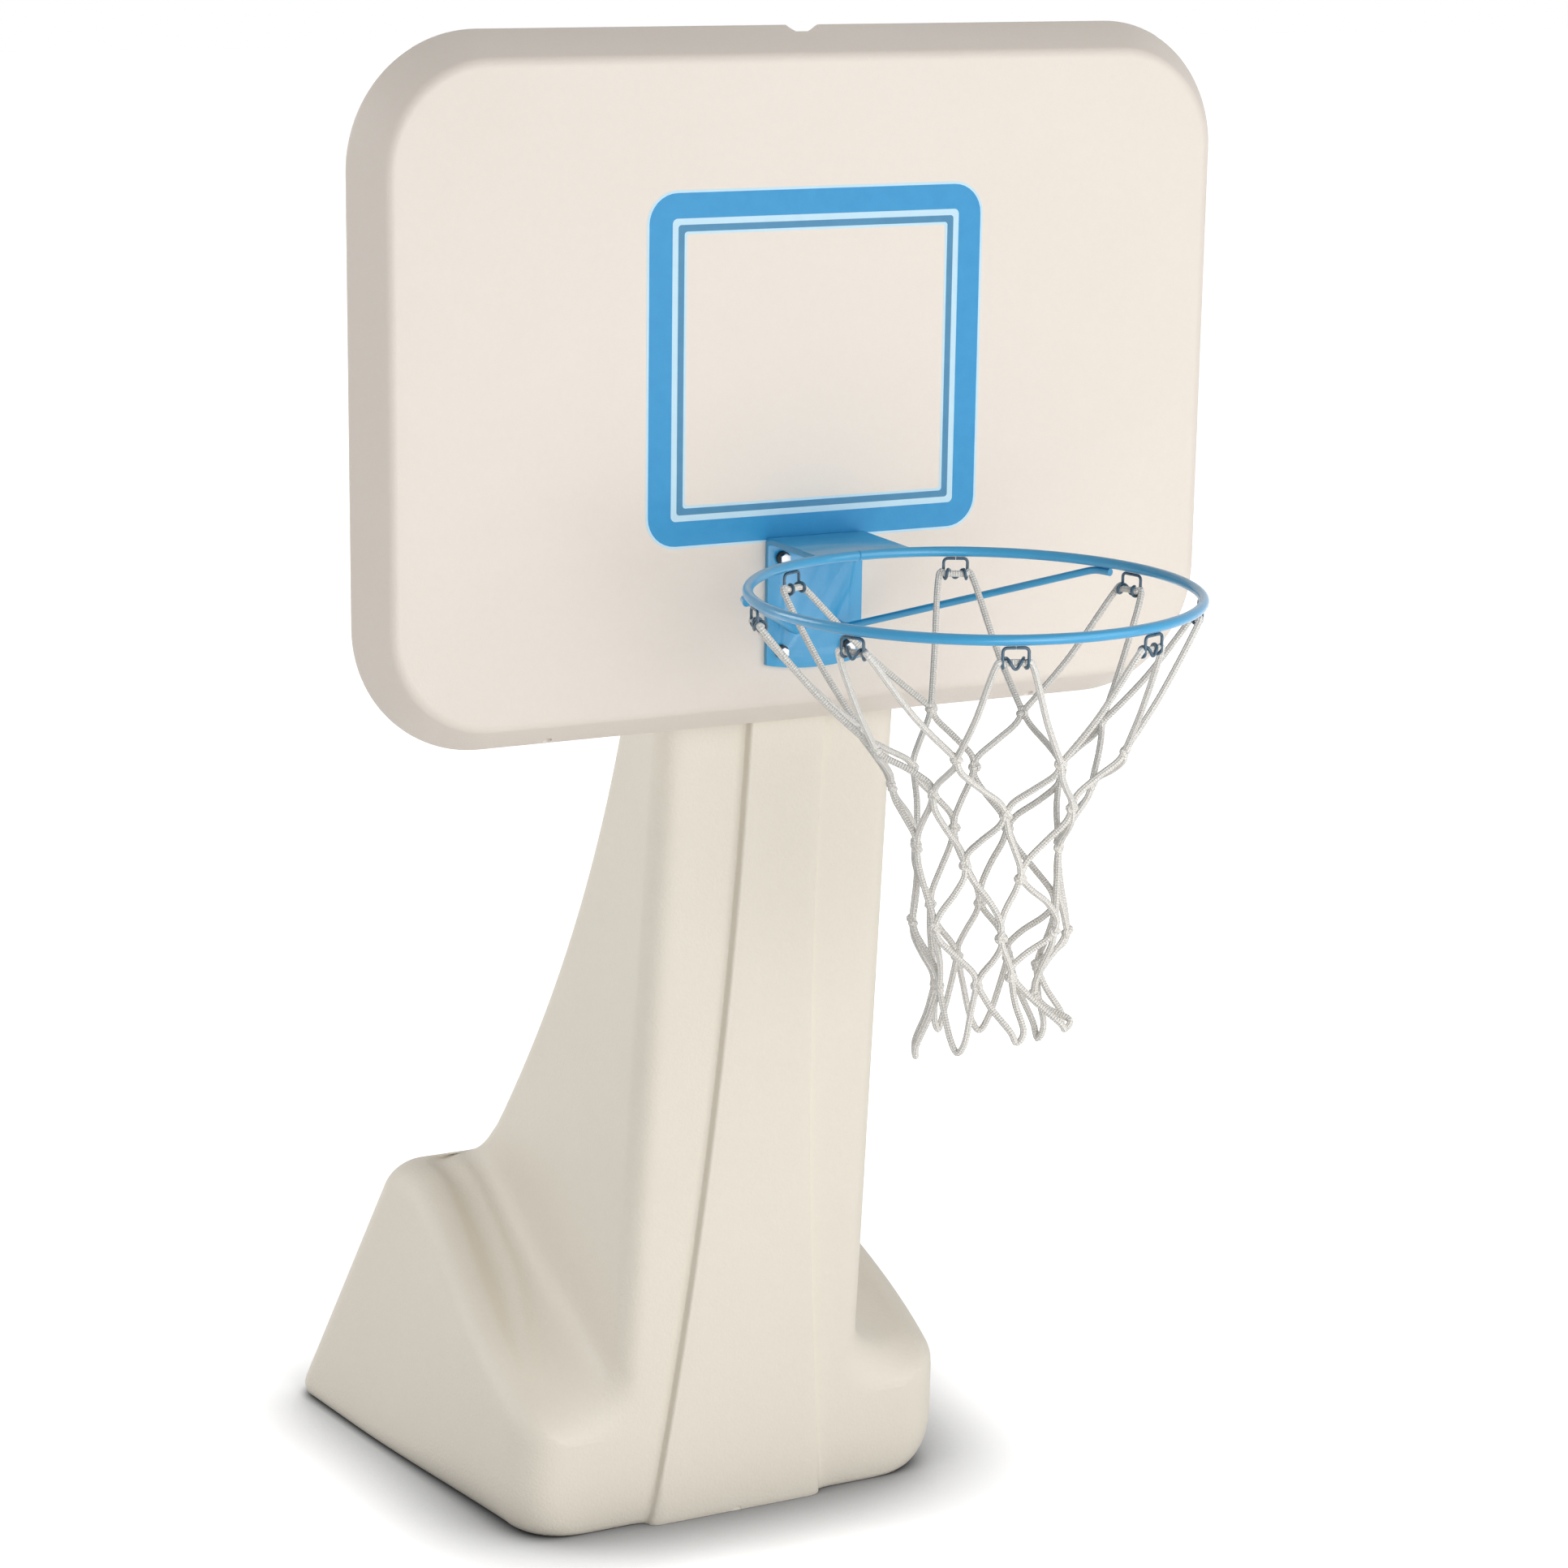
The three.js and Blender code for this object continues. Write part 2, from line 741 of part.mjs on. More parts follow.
// Section of the backboard's border, from the front face to the back, as [depth, inset]
function borderProfile() {
  const slopeRun = boardDepth - borderBackRound;
  const slopeShare = borderWidth / slopeRun;
  const easeShare = 0.55;
  const ease = borderFrontRound * easeShare;
  const arcShare = 1 - Math.SQRT1_2;
  const backArc = borderBackRound * arcShare;
  return [
    [0, borderWidth + ease],
    [ease / 4, borderWidth + ease / 8],
    [ease, borderWidth - ease * slopeShare],
    [slopeRun, 0],
    [boardDepth - backArc, backArc],
    [boardDepth, borderBackRound],
  ];
}

function boardLoft(skin) {
  const profile = borderProfile();
  const rings = profile.map(([depth, inset]) => {
    const y = clamp(depth, skin, boardDepth - skin);
    const width = boardWidth - 2 * (inset + skin);
    const height = boardHeight - 2 * (inset + skin);
    const outline = roundedOutline(width, height, boardCorner - inset - skin);
    const middle = boardBottom + boardHeight / 2;
    return outline.map((p) => new THREE.Vector3(p.x, y, middle + p.y));
  });
  return rings;
}

function makeBoard() {
  const outer = toSolid(closedLoft(boardLoft(0)));
  const innerRings = boardLoft(boardWall).filter((ring, index) => index !== 1 && index !== 5);
  let hollow = toSolid(closedLoft(innerRings));
  const notchRadius = (notchWidth ** 2 / 4 + notchDrop ** 2) / (2 * notchDrop);
  const notchHeight = boardBottom + boardHeight - notchDrop + notchRadius;
  const notchFront = boardDepth - notchDepth;
  const pocket = bar('y', notchRadius + boardWall, notchFront - boardWall, boardDepth);
  hollow = hollow.subtract(toSolid(pocket.translate(0, 0, notchHeight)));
  for (const place of boltPlaces) {
    const post = bar('y', boltDiameter / 2 + fitGap + bossWall, 0, boardDepth);
    hollow = hollow.subtract(toSolid(post.translate(place.x, 0, place.z)));
  }
  let shell = outer.subtract(hollow);
  const notch = bar('y', notchRadius, notchFront, boardDepth + cutOverrun);
  shell = shell.subtract(toSolid(notch.translate(0, 0, notchHeight)));
  for (const place of boltPlaces) {
    const bore = bar('y', boltDiameter / 2 + fitGap, -cutOverrun, boardDepth + cutOverrun);
    shell = shell.subtract(toSolid(bore.translate(place.x, 0, place.z)));
  }
  for (const side of [-1, 1]) {
    const [weepFoot, weepTop] = [boardBottom - cutOverrun, boardBottom + borderWidth];
    const weep = bar('z', weepBore / 2, weepFoot, weepTop, boltSides);
    shell = shell.subtract(toSolid(weep.translate(side * weepSpacing / 2, weepSetback, 0)));
  }
  addPiece('backboard', toGeometry(shell), 'creamBoard');
}

// Flat frame of print on the backboard: a rounded rectangle with a smaller one cut out
function printFrame(inset, width, front, thickness) {
  const outlineAt = (depth) => {
    const radius = Math.max(targetCorner - depth, lineWidth / 2);
    const [width, height] = [targetWidth - 2 * depth, targetHeight - 2 * depth];
    return roundedOutline(width, height, radius, printSteps);
  };
  const shape = new THREE.Shape(outlineAt(inset));
  shape.holes.push(new THREE.Path(outlineAt(inset + width).reverse()));
  const frame = new THREE.ExtrudeGeometry(shape, { depth: thickness, bevelEnabled: false });
  frame.rotateX(quarter);
  return frame.translate(0, front, targetTop - targetHeight / 2);
}

function makeTarget() {
  const lineInset = bandWidth + lineGap;
  const groundWidth = lineInset + lineWidth + 2 * groundMargin;
  const ground = printFrame(-groundMargin, groundWidth, 0, groundThickness);
  addPiece('target_ground', ground, 'paleInk');
  addPiece('target_band', printFrame(0, bandWidth, -groundThickness, inkThickness), 'blueInk');
  const line = printFrame(lineInset, lineWidth, -groundThickness, inkThickness);
  addPiece('target_line', line, 'dullInk');
}

// Side view of the folded sheet, swept across, then trimmed by its front view and plan
function bracketFoldSolid() {
  const foot = bracketTop - bracketDrop - bracketBow;
  const reach = rimReach - rimRadius + rimRod;
  const inner = bracketFold - bracketSheet;
  const shape = new THREE.Shape();
  shape.moveTo(0, foot);
  shape.lineTo(0, bracketTop - bracketFold);
  shape.absarc(-bracketFold, bracketTop - bracketFold, bracketFold, 0, quarter, false);
  shape.lineTo(-reach, bracketTop);
  shape.lineTo(-reach, bracketTop - bracketSheet);
  shape.lineTo(-bracketFold, bracketTop - bracketSheet);
  shape.absarc(-bracketFold, bracketTop - bracketFold, inner, quarter, 0, true);
  shape.lineTo(-bracketSheet, foot);
  const settings = { depth: bracketWidth, bevelEnabled: false, curveSegments: 5 };
  const swept = new THREE.ExtrudeGeometry(shape, settings);
  swept.rotateX(quarter).rotateZ(quarter);
  return toSolid(swept.translate(-bracketWidth / 2, 0, 0));
}

function bracketFrontSolid() {
  const half = bracketWidth / 2;
  const sideFoot = bracketTop - bracketDrop;
  const deep = rimReach;
  const shape = new THREE.Shape();
  shape.moveTo(-half, sideFoot);
  shape.quadraticCurveTo(0, sideFoot - 2 * bracketBow, half, sideFoot);
  shape.lineTo(half, bracketTop + cutOverrun);
  shape.lineTo(-half, bracketTop + cutOverrun);
  const settings = { depth: deep, bevelEnabled: false, curveSegments: 10 };
  return toSolid(new THREE.ExtrudeGeometry(shape, settings).rotateX(quarter)
    .translate(0, cutOverrun, 0));
}

function bracketPlanSolid() {
  const half = bracketWidth / 2;
  const endHalf = bracketEndWidth / 2;
  const reach = rimReach - rimRadius + rimRod;
  const shape = new THREE.Shape();
  shape.moveTo(-half, cutOverrun);
  shape.lineTo(-half, -bracketFold);
  shape.lineTo(-endHalf, -reach);
  shape.lineTo(endHalf, -reach);
  shape.lineTo(half, -bracketFold);
  shape.lineTo(half, cutOverrun);
  const tall = bracketTop + cutOverrun;
  return toSolid(new THREE.ExtrudeGeometry(shape, { depth: tall, bevelEnabled: false }));
}

function makeBracket() {
  let sheet = bracketFoldSolid().intersect(bracketFrontSolid()).intersect(bracketPlanSolid());
  const rimEdge = rimRadius + rimRod / 2 + fitGap;
  const ringCut = new THREE.CylinderGeometry(rimEdge, rimEdge, bracketDrop, 4 * roundSteps);
  ringCut.rotateX(quarter).translate(0, -rimReach, bracketTop);
  sheet = sheet.subtract(toSolid(ringCut));
  for (const place of boltPlaces) {
    const hole = bar('y', boltDiameter / 2 + fitGap, -bracketSheet - cutOverrun, cutOverrun);
    sheet = sheet.subtract(toSolid(hole.translate(place.x, 0, place.z)));
  }
  addPiece('rim_bracket', toGeometry(sheet), 'blueSteel');
}

function makeRim() {
  const ring = new THREE.TorusGeometry(rimRadius, rimRod / 2, rodSides, rimSteps);
  ring.rotateZ(quarter);
  const mesh = addPiece('rim_ring', ring, 'blueSteel');
  mesh.position.set(0, -rimReach, rimHeight);
}

// Point under the rim's rod, at a share of a turn from +X towards the backboard
function underRim(angleShare, outset, side) {
  const radius = rimRadius + outset;
  const x = side * radius * Math.cos(turn * angleShare);
  const y = -rimReach + radius * Math.sin(turn * angleShare);
  const z = rimHeight - rimRod / 2 - fitGap - braceRod / 2;
  return new THREE.Vector3(x, y, z);
}

function makeBrace(name, side) {
  const footHeight = bracketTop - braceFootDrop;
  const foot = new THREE.Vector3(side * braceFootSpread, -bracketSheet - fitGap, footHeight);
  const straight = foot.clone().setY(foot.y - 2 * braceRod);
  const bend = underRim(braceBendAngleShare, braceBendOutset, side);
  const end = underRim(braceEndAngleShare, braceLapOutset, side);
  const corners = [[foot, 0], [straight, braceRod], [bend, braceBend], [end, 0]];
  const chain = roundedChain(corners, bendSteps);
  addPiece(name, sweepThrough(chain, braceRod / 2, rodSides), 'blueSteel');
}

// One half of a hook's wire, from the split at the top to the middle of the vee.
// Local x runs along the rim, y towards the middle of the ring, z up.
function hookHalfPoints(side) {
  const half = hookWidth / 2;
  const points = [];
  const put = (x, y, z) => points.push(new THREE.Vector3(side * x, y, z));
  put(hookSplit / 2, 0, 0);
  for (const share of [0, 1 / 2, 1]) {
    const angle = quarter * share;
    put(half - hookCorner * (1 - Math.sin(angle)), 0, -hookCorner * (1 - Math.cos(angle)));
  }
  for (let i = 0; i <= coilSteps; i += 1) {
    const angle = turn * i / coilSteps;
    const y = coilRadius * (1 - Math.cos(angle));
    const z = -hookDrop - coilRadius * Math.sin(angle);
    const inward = veeRun * Math.max(0, i / coilSteps - veeStartShare);
    put(half - coilStep * i / coilSteps - inward, y, z);
  }
  put(veeHalf, 0, -veeDrop + veeRise);
  return points;
}

// The whole wire: one half, the bottom of the vee, then the other half backwards
function hookGeometry() {
  const left = hookHalfPoints(-1);
  const right = hookHalfPoints(1).reverse();
  const bottom = new THREE.Vector3(0, 0, -veeDrop);
  return sweepThrough([...left, bottom, ...right], hookWire / 2, wireSides);
}

const hookCount = hookAngleShares.length;

function hookAngle(index) {
  const lap = Math.floor(index / hookCount);
  return turn * (hookAngleShares[index - lap * hookCount] + lap);
}

const hookTop = rimHeight - rimRod / 2 - fitGap - hookWire / 2;

function makeHooks() {
  for (let i = 0; i < hookCount; i += 1) {
    const seat = new THREE.Group();
    seat.position.set(0, -rimReach, hookTop);
    seat.rotation.z = hookAngle(i) + quarter;
    hoop.add(seat);
    const hook = addPiece(`net_hook_${i + 1}`, hookGeometry(), 'darkSteel', seat);
    hook.position.y = -rimRadius;
  }
}

// Point of the net: an angle round the ring, a distance along the rim, a radius, a height
function netPoint(angle, along, radius, z) {
  const x = radius * Math.cos(angle) - along * Math.sin(angle);
  const y = radius * Math.sin(angle) + along * Math.cos(angle);
  return new THREE.Vector3(x, y - rimReach, z);
}

// Knots lie under the hooks in the odd rows and between them in the even rows
function knotAngle(row, index) {
  if (row % 2 === 1) return hookAngle(index);
  return (hookAngle(index) + hookAngle(index + 1)) / 2;
}

// Point of the net below the rim, where it sways to one side of the ring's middle
function swayedPoint(angle, along, radius, z) {
  return netPoint(angle, along, radius, z).add(new THREE.Vector3(netSwayX, netSwayY, 0));
}

function netKnot(row, index) {
  const radius = rimRadius * rowRadiusShares[row];
  const z = rimHeight - netDrop * rowDropShares[row];
  return swayedPoint(knotAngle(row, index), 0, radius, z);
}

// Block that stands for a knot, square to the four cords that meet in it
function knotBlock(row, index) {
  const centre = netKnot(row, index);
  const angle = knotAngle(row, index);
  const along = new THREE.Vector3(-Math.sin(angle), Math.cos(angle), 0);
  const above = row === 0 ? rimRadius - coilRadius : rimRadius * rowRadiusShares[row - 1];
  const inward = above - rimRadius * rowRadiusShares[row + 1];
  const aboveDrop = row === 0 ? rimHeight - hookTop + hookDrop : netDrop * rowDropShares[row - 1];
  const fall = netDrop * rowDropShares[row + 1] - aboveDrop;
  const down = new THREE.Vector3(-inward * Math.cos(angle), -inward * Math.sin(angle), -fall);
  down.normalize();
  const first = along.clone().add(down).normalize();
  const second = down.clone().sub(along).normalize();
  const block = new THREE.BoxGeometry(knotSize, knotSize, knotSize);
  const basis = new THREE.Matrix4().makeBasis(first, second, first.clone().cross(second));
  return toSolid(block.applyMatrix4(basis.setPosition(centre)));
}

function makeNet() {
  const cord = cordDiameter / 2;
  const ropeRadius = rimRadius - coilRadius;
  const ropeHeight = hookTop - hookDrop;
  const lastRow = rowDropShares.length - 1;
  const pieces = [];
  for (let i = 0; i < hookCount; i += 1) {
    const previous = i + hookCount - 1;
    const ends = [-1, 1].map((side) => {
      return netPoint(hookAngle(i), side * cordBend, ropeRadius, ropeHeight);
    });
    const overHook = [netKnot(0, previous), ...ends, netKnot(0, i)];
    pieces.push(toSolid(sweepThrough(overHook, cord, cordSides)));
    for (let row = 0; row < lastRow; row += 1) {
      pieces.push(knotBlock(row, i));
      if (row === lastRow - 1) continue;
      const neighbour = row % 2 === 0 ? i + 1 : previous;
      for (const lower of [i, neighbour]) {
        const link = strut(netKnot(row, i), netKnot(row + 1, lower), cord, cordSides);
        pieces.push(toSolid(link));
      }
    }
    const bottom = netKnot(lastRow, i);
    const radius = rimRadius * rowRadiusShares[lastRow];
    const bends = [-1, 1].map((side) => {
      return swayedPoint(hookAngle(i), side * loopBend, radius, bottom.z + loopRise);
    });
    const loop = [netKnot(lastRow - 1, previous), bends[0], bottom, bends[1]];
    loop.push(netKnot(lastRow - 1, i));
    pieces.push(toSolid(sweepThrough(loop, cord, cordSides)));
  }
  addPiece('net', toGeometry(wasm.Manifold.union(pieces)), 'whiteCord');
}

function makeBolts() {
  const headBack = -bracketSheet - spacerThickness;
  boltPlaces.forEach((place, index) => {
    const number = index + 1;
    const seat = new THREE.Group();
    seat.position.set(place.x, 0, place.z);
    hoop.add(seat);
    const headRadius = boltHeadFlats / 2 / Math.cos(turn / (2 * hexSides));
    const head = toSolid(bar('y', headRadius, headBack - boltHeadHeight, headBack, hexSides));
    const tip = panelHeadSetback + boltReach;
    const shankHead = headBack - boltHeadHeight / 2;
    const shank = toSolid(bar('y', boltDiameter / 2, shankHead, tip, boltSides));
    addPiece(`bracket_bolt_${number}`, toGeometry(head.add(shank)), 'zinc', seat);
    const spacer = toSolid(bar('y', spacerDiameter / 2, headBack, -bracketSheet));
    const boreRadius = boltDiameter / 2 + fitGap;
    const hole = bar('y', boreRadius, headBack - cutOverrun, cutOverrun, boltSides);
    const washer = toGeometry(spacer.subtract(toSolid(hole)));
    addPiece(`bracket_washer_${number}`, washer, 'blackNylon', seat);
    const insertBack = panelHeadSetback + insertLength;
    const insertRadius = insertDiameter / 2;
    const insert = toSolid(bar('y', insertRadius, panelHeadSetback, insertBack, boltSides));
    const insertBore = bar('y', boreRadius, 0, insertBack + cutOverrun, boltSides);
    const sleeve = toGeometry(insert.subtract(toSolid(insertBore)));
    addPiece(`column_insert_${number}`, sleeve, 'brass', seat);
  });
}

makeBase();
makePlug('fill_cap', 'fill_seal', fill, 'whitePlastic');
makePlug('drain_plug', 'drain_seal', drain, 'whitePlastic');
makeBoard();
makeTarget();
makeBracket();
makeRim();
makeBrace('brace_left', -1);
makeBrace('brace_right', 1);
makeHooks();
makeNet();
makeBolts();

// The origin lies on the floor under the middle of the whole hoop
const frontmost = -rimReach - rimRadius - rimRod / 2;
const rearmost = tankRear - rearDraftShare * footRise;
hoop.position.y = -(frontmost + rearmost) / 2;

export default hoop;
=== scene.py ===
# Poolside basketball hoop: the finish and the fine shapes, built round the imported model
import math
import random

import bmesh
import bpy
from mathutils import Matrix, Vector


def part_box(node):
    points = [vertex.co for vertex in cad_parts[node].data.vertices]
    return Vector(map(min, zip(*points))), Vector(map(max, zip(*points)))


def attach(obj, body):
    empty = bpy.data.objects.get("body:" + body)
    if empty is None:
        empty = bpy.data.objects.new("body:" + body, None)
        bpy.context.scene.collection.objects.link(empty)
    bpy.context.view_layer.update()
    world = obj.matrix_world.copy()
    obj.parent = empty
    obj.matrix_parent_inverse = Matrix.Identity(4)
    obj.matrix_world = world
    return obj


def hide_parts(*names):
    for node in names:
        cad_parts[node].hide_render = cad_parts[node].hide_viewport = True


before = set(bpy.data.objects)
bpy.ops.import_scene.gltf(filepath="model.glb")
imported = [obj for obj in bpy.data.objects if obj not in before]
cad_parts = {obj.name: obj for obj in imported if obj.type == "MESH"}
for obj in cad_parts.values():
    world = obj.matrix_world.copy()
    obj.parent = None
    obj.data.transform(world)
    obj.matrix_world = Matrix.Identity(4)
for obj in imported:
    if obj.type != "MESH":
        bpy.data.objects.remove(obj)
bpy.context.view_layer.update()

bpy.ops.object.select_all(action="DESELECT")

mm = 0.001
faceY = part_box("backboard")[0].y  # the board's front face, which every depth is measured from
quarterTurn = math.pi / 2
fullTurn = 2 * math.pi


def place(x, y, z):  # millimetres behind the board's face and above the floor
    return Vector((x * mm, faceY + y * mm, z * mm))


def mix(low, high, share):
    return low + (high - low) * share


def limit(value, low=0.0, high=1.0):
    return min(high, max(low, value))


def ease(value, low, high):
    share = limit((value - low) / (high - low))
    return share * share * (3 - 2 * share)


def steps(count, first=0.0, last=1.0):
    return [mix(first, last, index / count) for index in range(count + 1)]


view = {  # where the photograph was taken from: angles in degrees, lens and sensor in millimetres
    "spot": place(-1421.1, -2770.7, 1459.4),
    "azimuth": -26.776,
    "pitch": 13.942,
    "roll": 0.834,
    "lens": 90.460,
    "sensor": 36,
}


def addCamera():
    azimuth, pitch, roll = (math.radians(view[key]) for key in ("azimuth", "pitch", "roll"))
    level = Vector((math.cos(azimuth), math.sin(azimuth), 0))
    forward = Vector((-math.sin(azimuth), math.cos(azimuth), 0))
    ahead = forward * math.cos(pitch) - Vector((0, 0, math.sin(pitch)))
    above = level.cross(ahead)
    right = level * math.cos(roll) + above * math.sin(roll)
    up = above * math.cos(roll) - level * math.sin(roll)
    turned = Matrix((right, up, -ahead)).transposed().to_4x4()
    lens = bpy.data.cameras.new("camera")
    lens.lens = view["lens"]
    lens.sensor_width = view["sensor"]
    camera = bpy.data.objects.new("camera", lens)
    bpy.context.scene.collection.objects.link(camera)
    camera.matrix_world = Matrix.Translation(view["spot"]) @ turned
    bpy.context.scene.camera = camera


lighting = {  # metres and watts; the floor's own glow grows to full white between the two fades
    "world": 0.26,
    "floorGlow": 0.72,
    "floorSpan": 40,
    "floorGrey": 0.86,
    "fadeStart": 0.7,
    "fadeEnd": 1.5,
    "contactReach": 0.12,
    "key": {"spot": (1.3, -3.4, 1.3), "size": 4.6, "power": 94},
    "fill": {"spot": (-2.9, 2.2, 2.3), "size": 2.4, "power": 64},
    "low": {"spot": (-0.2, -3.0, 0.3), "size": 2.0, "power": 26, "target": (0, 0, 0.25)},
}


def addLamp(name, spot, size, power, target=(0, 0, 0.6)):
    lamp = bpy.data.lights.new(name, "AREA")
    lamp.shape = "DISK"
    lamp.size = size
    lamp.energy = power
    piece = bpy.data.objects.new(name, lamp)
    bpy.context.scene.collection.objects.link(piece)
    aim = Vector(target) - Vector(spot)
    piece.location = spot
    piece.rotation_euler = aim.to_track_quat("-Z", "Y").to_euler()


class Field:  # one socket of a shader, which Python's own operators work on
    def __init__(self, finish, socket):
        self.finish = finish
        self.socket = socket

    def maths(self, operation, *others, flipped=False):
        values = [self, *others]
        if flipped:
            values.reverse()
        return self.finish.node("ShaderNodeMath", {"operation": operation}, values)

    def __add__(self, other):
        return self.maths("ADD", other)

    def __sub__(self, other):
        return self.maths("SUBTRACT", other)

    def __rsub__(self, other):
        return self.maths("SUBTRACT", other, flipped=True)

    def __mul__(self, other):
        return self.maths("MULTIPLY", other)

    __radd__ = __add__
    __rmul__ = __mul__


class Finish:  # one material: its shader, and one way to add every other node
    def __init__(self, name, sockets):
        self.material = bpy.data.materials.new(name)
        self.material.use_nodes = True
        self.tree = self.material.node_tree
        self.shader = self.tree.nodes["Principled BSDF"]
        for socket, value in sockets.items():
            self.shader.inputs[socket].default_value = value

    def node(self, kind, settings=None, values=(), output=0):
        made = self.tree.nodes.new(kind)
        for key, setting in (settings or {}).items():
            setattr(made, key, setting)
        pairs = values.items() if isinstance(values, dict) else enumerate(values)
        for key, value in pairs:
            if isinstance(value, Field):
                self.tree.links.new(value.socket, made.inputs[key])
            else:
                made.inputs[key].default_value = value
        return Field(self, made.outputs[output])

    def spots(self):
        return self.node("ShaderNodeTexCoord", output="Object")

    def noise(self, scale, detail=2.0, roughness=0.5, point=None):
        values = {"Scale": scale, "Detail": detail, "Roughness": roughness}
        values["Vector"] = point or self.spots()
        return self.node("ShaderNodeTexNoise", values=values)

    def cells(self, scale, smoothness, point):
        settings = {"feature": "SMOOTH_F1"}
        values = {"Scale": scale, "Smoothness": smoothness, "Vector": point}
        return self.node("ShaderNodeTexVoronoi", settings, values)

    def band(self, field, low, high):  # 0 below low, 1 above high, smooth between
        settings = {"interpolation_type": "SMOOTHSTEP"}
        values = {"Value": field, "From Min": low, "From Max": high}
        return self.node("ShaderNodeMapRange", settings, values)

    def tint(self, share, first, second):
        settings = {"data_type": "RGBA"}
        return self.node("ShaderNodeMix", settings, {0: share, 6: first, 7: second}, 2)

    def axis(self, point, letter):
        return self.node("ShaderNodeSeparateXYZ", values=[point], output=letter)

    def feed(self, socket, field):
        self.tree.links.new(field.socket, self.shader.inputs[socket])

    def relief(self, height, depth):  # depth in metres
        values = {"Height": height, "Distance": depth, "Strength": 1}
        self.feed("Normal", self.node("ShaderNodeBump", values=values))


def colour(red, green, blue):  # 0 to 255, as a picture shows it
    def linear(value):
        value = value / 255
        return value / 12.92 if value <= 0.04045 else ((value + 0.055) / 1.055) ** 2.4
    return (linear(red), linear(green), linear(blue), 1)


def mouldedPlastic(name, base, shade, pebble, relief, roughness):  # a pebbled mould's skin, a little cloudy
    finish = Finish(name, {"IOR": 1.48})
    point = finish.spots()
    clouds = finish.noise(5, 3, 0.6, point)
    grain = finish.noise(260, 2, 0.5, point)
    finish.feed("Base Color", finish.tint(clouds * 0.5 + grain * 0.3, base, shade))
    finish.feed("Roughness", clouds * 0.08 + grain * 0.10 + roughness)
    pebbles = finish.cells(pebble, 0.7, point)
    dust = finish.noise(pebble * 2.6, 2, 0.6, point)
    finish.relief(pebbles * 0.8 + dust * 0.35, relief)
    return finish


def printedInk(name, base, shade):  # a thin, slightly uneven film
    finish = Finish(name, {"IOR": 1.48})
    point = finish.spots()
    mottle = finish.noise(90, 3, 0.6, point)
    finish.feed("Base Color", finish.tint(mottle, base, shade))
    finish.feed("Roughness", mottle * 0.12 + 0.36)
    finish.relief(finish.noise(700, 2, 0.5, point), 0.00008)
    return finish


def paintedSteel(name, base, shade, roughness):  # powder coat with a faint orange peel
    finish = Finish(name, {"IOR": 1.5, "Coat Roughness": 0.12})
    point = finish.spots()
    blush = finish.noise(24, 3, 0.6, point)
    finish.feed("Base Color", finish.tint(blush, base, shade))
    finish.feed("Roughness", blush * 0.10 + roughness)
    finish.feed("Coat Weight", blush * 0.3 + 0.35)
    peel = finish.noise(620, 2, 0.5, point)
    finish.relief(peel, 0.00012)
    return finish


def bareMetal(name, base, shade, roughness):  # plating with faint stains
    finish = Finish(name, {"Metallic": 1})
    point = finish.spots()
    stain = finish.noise(180, 3, 0.6, point)
    finish.feed("Base Color", finish.tint(stain, base, shade))
    finish.feed("Roughness", stain * 0.18 + roughness)
    finish.relief(finish.noise(1400, 2, 0.5, point), 0.00004)
    return finish


def dullMoulding(name, base, shade, roughness, relief):  # scuffed nylon, plastic or rubber
    finish = Finish(name, {"IOR": 1.5})
    point = finish.spots()
    scuff = finish.noise(70, 3, 0.6, point)
    finish.feed("Base Color", finish.tint(scuff, base, shade))
    finish.feed("Roughness", scuff * 0.12 + roughness)
    finish.relief(finish.noise(900, 2, 0.5, point), relief)
    return finish


def braidedCord(name, base, shade):  # four strands each way round the cord, on its own UV map
    finish = Finish(name, {"Roughness": 0.82, "Sheen Weight": 0.25, "Sheen Roughness": 0.5})
    around = finish.node("ShaderNodeUVMap", {"uv_map": "lay"})
    turnShare = finish.axis(around, "X")
    length = finish.axis(around, "Y")
    right = ((turnShare + length) * (4 * fullTurn)).maths("SINE")
    left = ((turnShare - length) * (4 * fullTurn)).maths("SINE")
    lay = right * left
    fibres = finish.noise(1800, 2, 0.6)
    # the colour mixes a random fibre tone with painted shade in the grooves between strands
    finish.feed("Base Color", finish.tint(lay * 0.35 + fibres * 0.4 + 0.32, shade, base))
    finish.relief(lay * 0.7 + fibres * 0.25, 0.0006)
    return finish


creamPlastic = mouldedPlastic(
    "creamPlastic", colour(237, 230, 217), colour(228, 220, 205), 430, 0.00028, 0.44)
boardPlastic = mouldedPlastic(
    "boardPlastic", colour(235, 226, 216), colour(227, 217, 206), 620, 0.00010, 0.38)
paleInk = printedInk("paleInk", colour(200, 230, 243), colour(186, 222, 240))
blueInk = printedInk("blueInk", colour(34, 150, 205), colour(24, 138, 196))
dullInk = printedInk("dullInk", colour(66, 138, 178), colour(54, 124, 164))
blueSteel = paintedSteel("blueSteel", colour(42, 162, 212), colour(32, 148, 200), 0.26)
# a darker copy of the blue paint for the net hooks: painted shade on the thin wire under the ring
darkSteel = paintedSteel("darkSteel", colour(20, 76, 102), colour(14, 64, 88), 0.3)
zincPlate = bareMetal("zincPlate", colour(205, 206, 208), colour(170, 172, 176), 0.24)
plainBrass = bareMetal("plainBrass", colour(190, 160, 92), colour(160, 130, 70), 0.28)
# black nylon spacers, kept this black partly as painted shade for the dark side beside each bolt head
blackNylon = dullMoulding("blackNylon", colour(34, 36, 40), colour(46, 48, 52), 0.55, 0.00008)
whitePlastic = dullMoulding("whitePlastic", colour(232, 230, 224), colour(222, 219, 211), 0.4, 0.00006)
blackRubber = dullMoulding("blackRubber", colour(26, 26, 27), colour(36, 36, 37), 0.75, 0.00010)
whiteCord = braidedCord("whiteCord", colour(252, 250, 245), colour(222, 217, 209))
print("materials made")


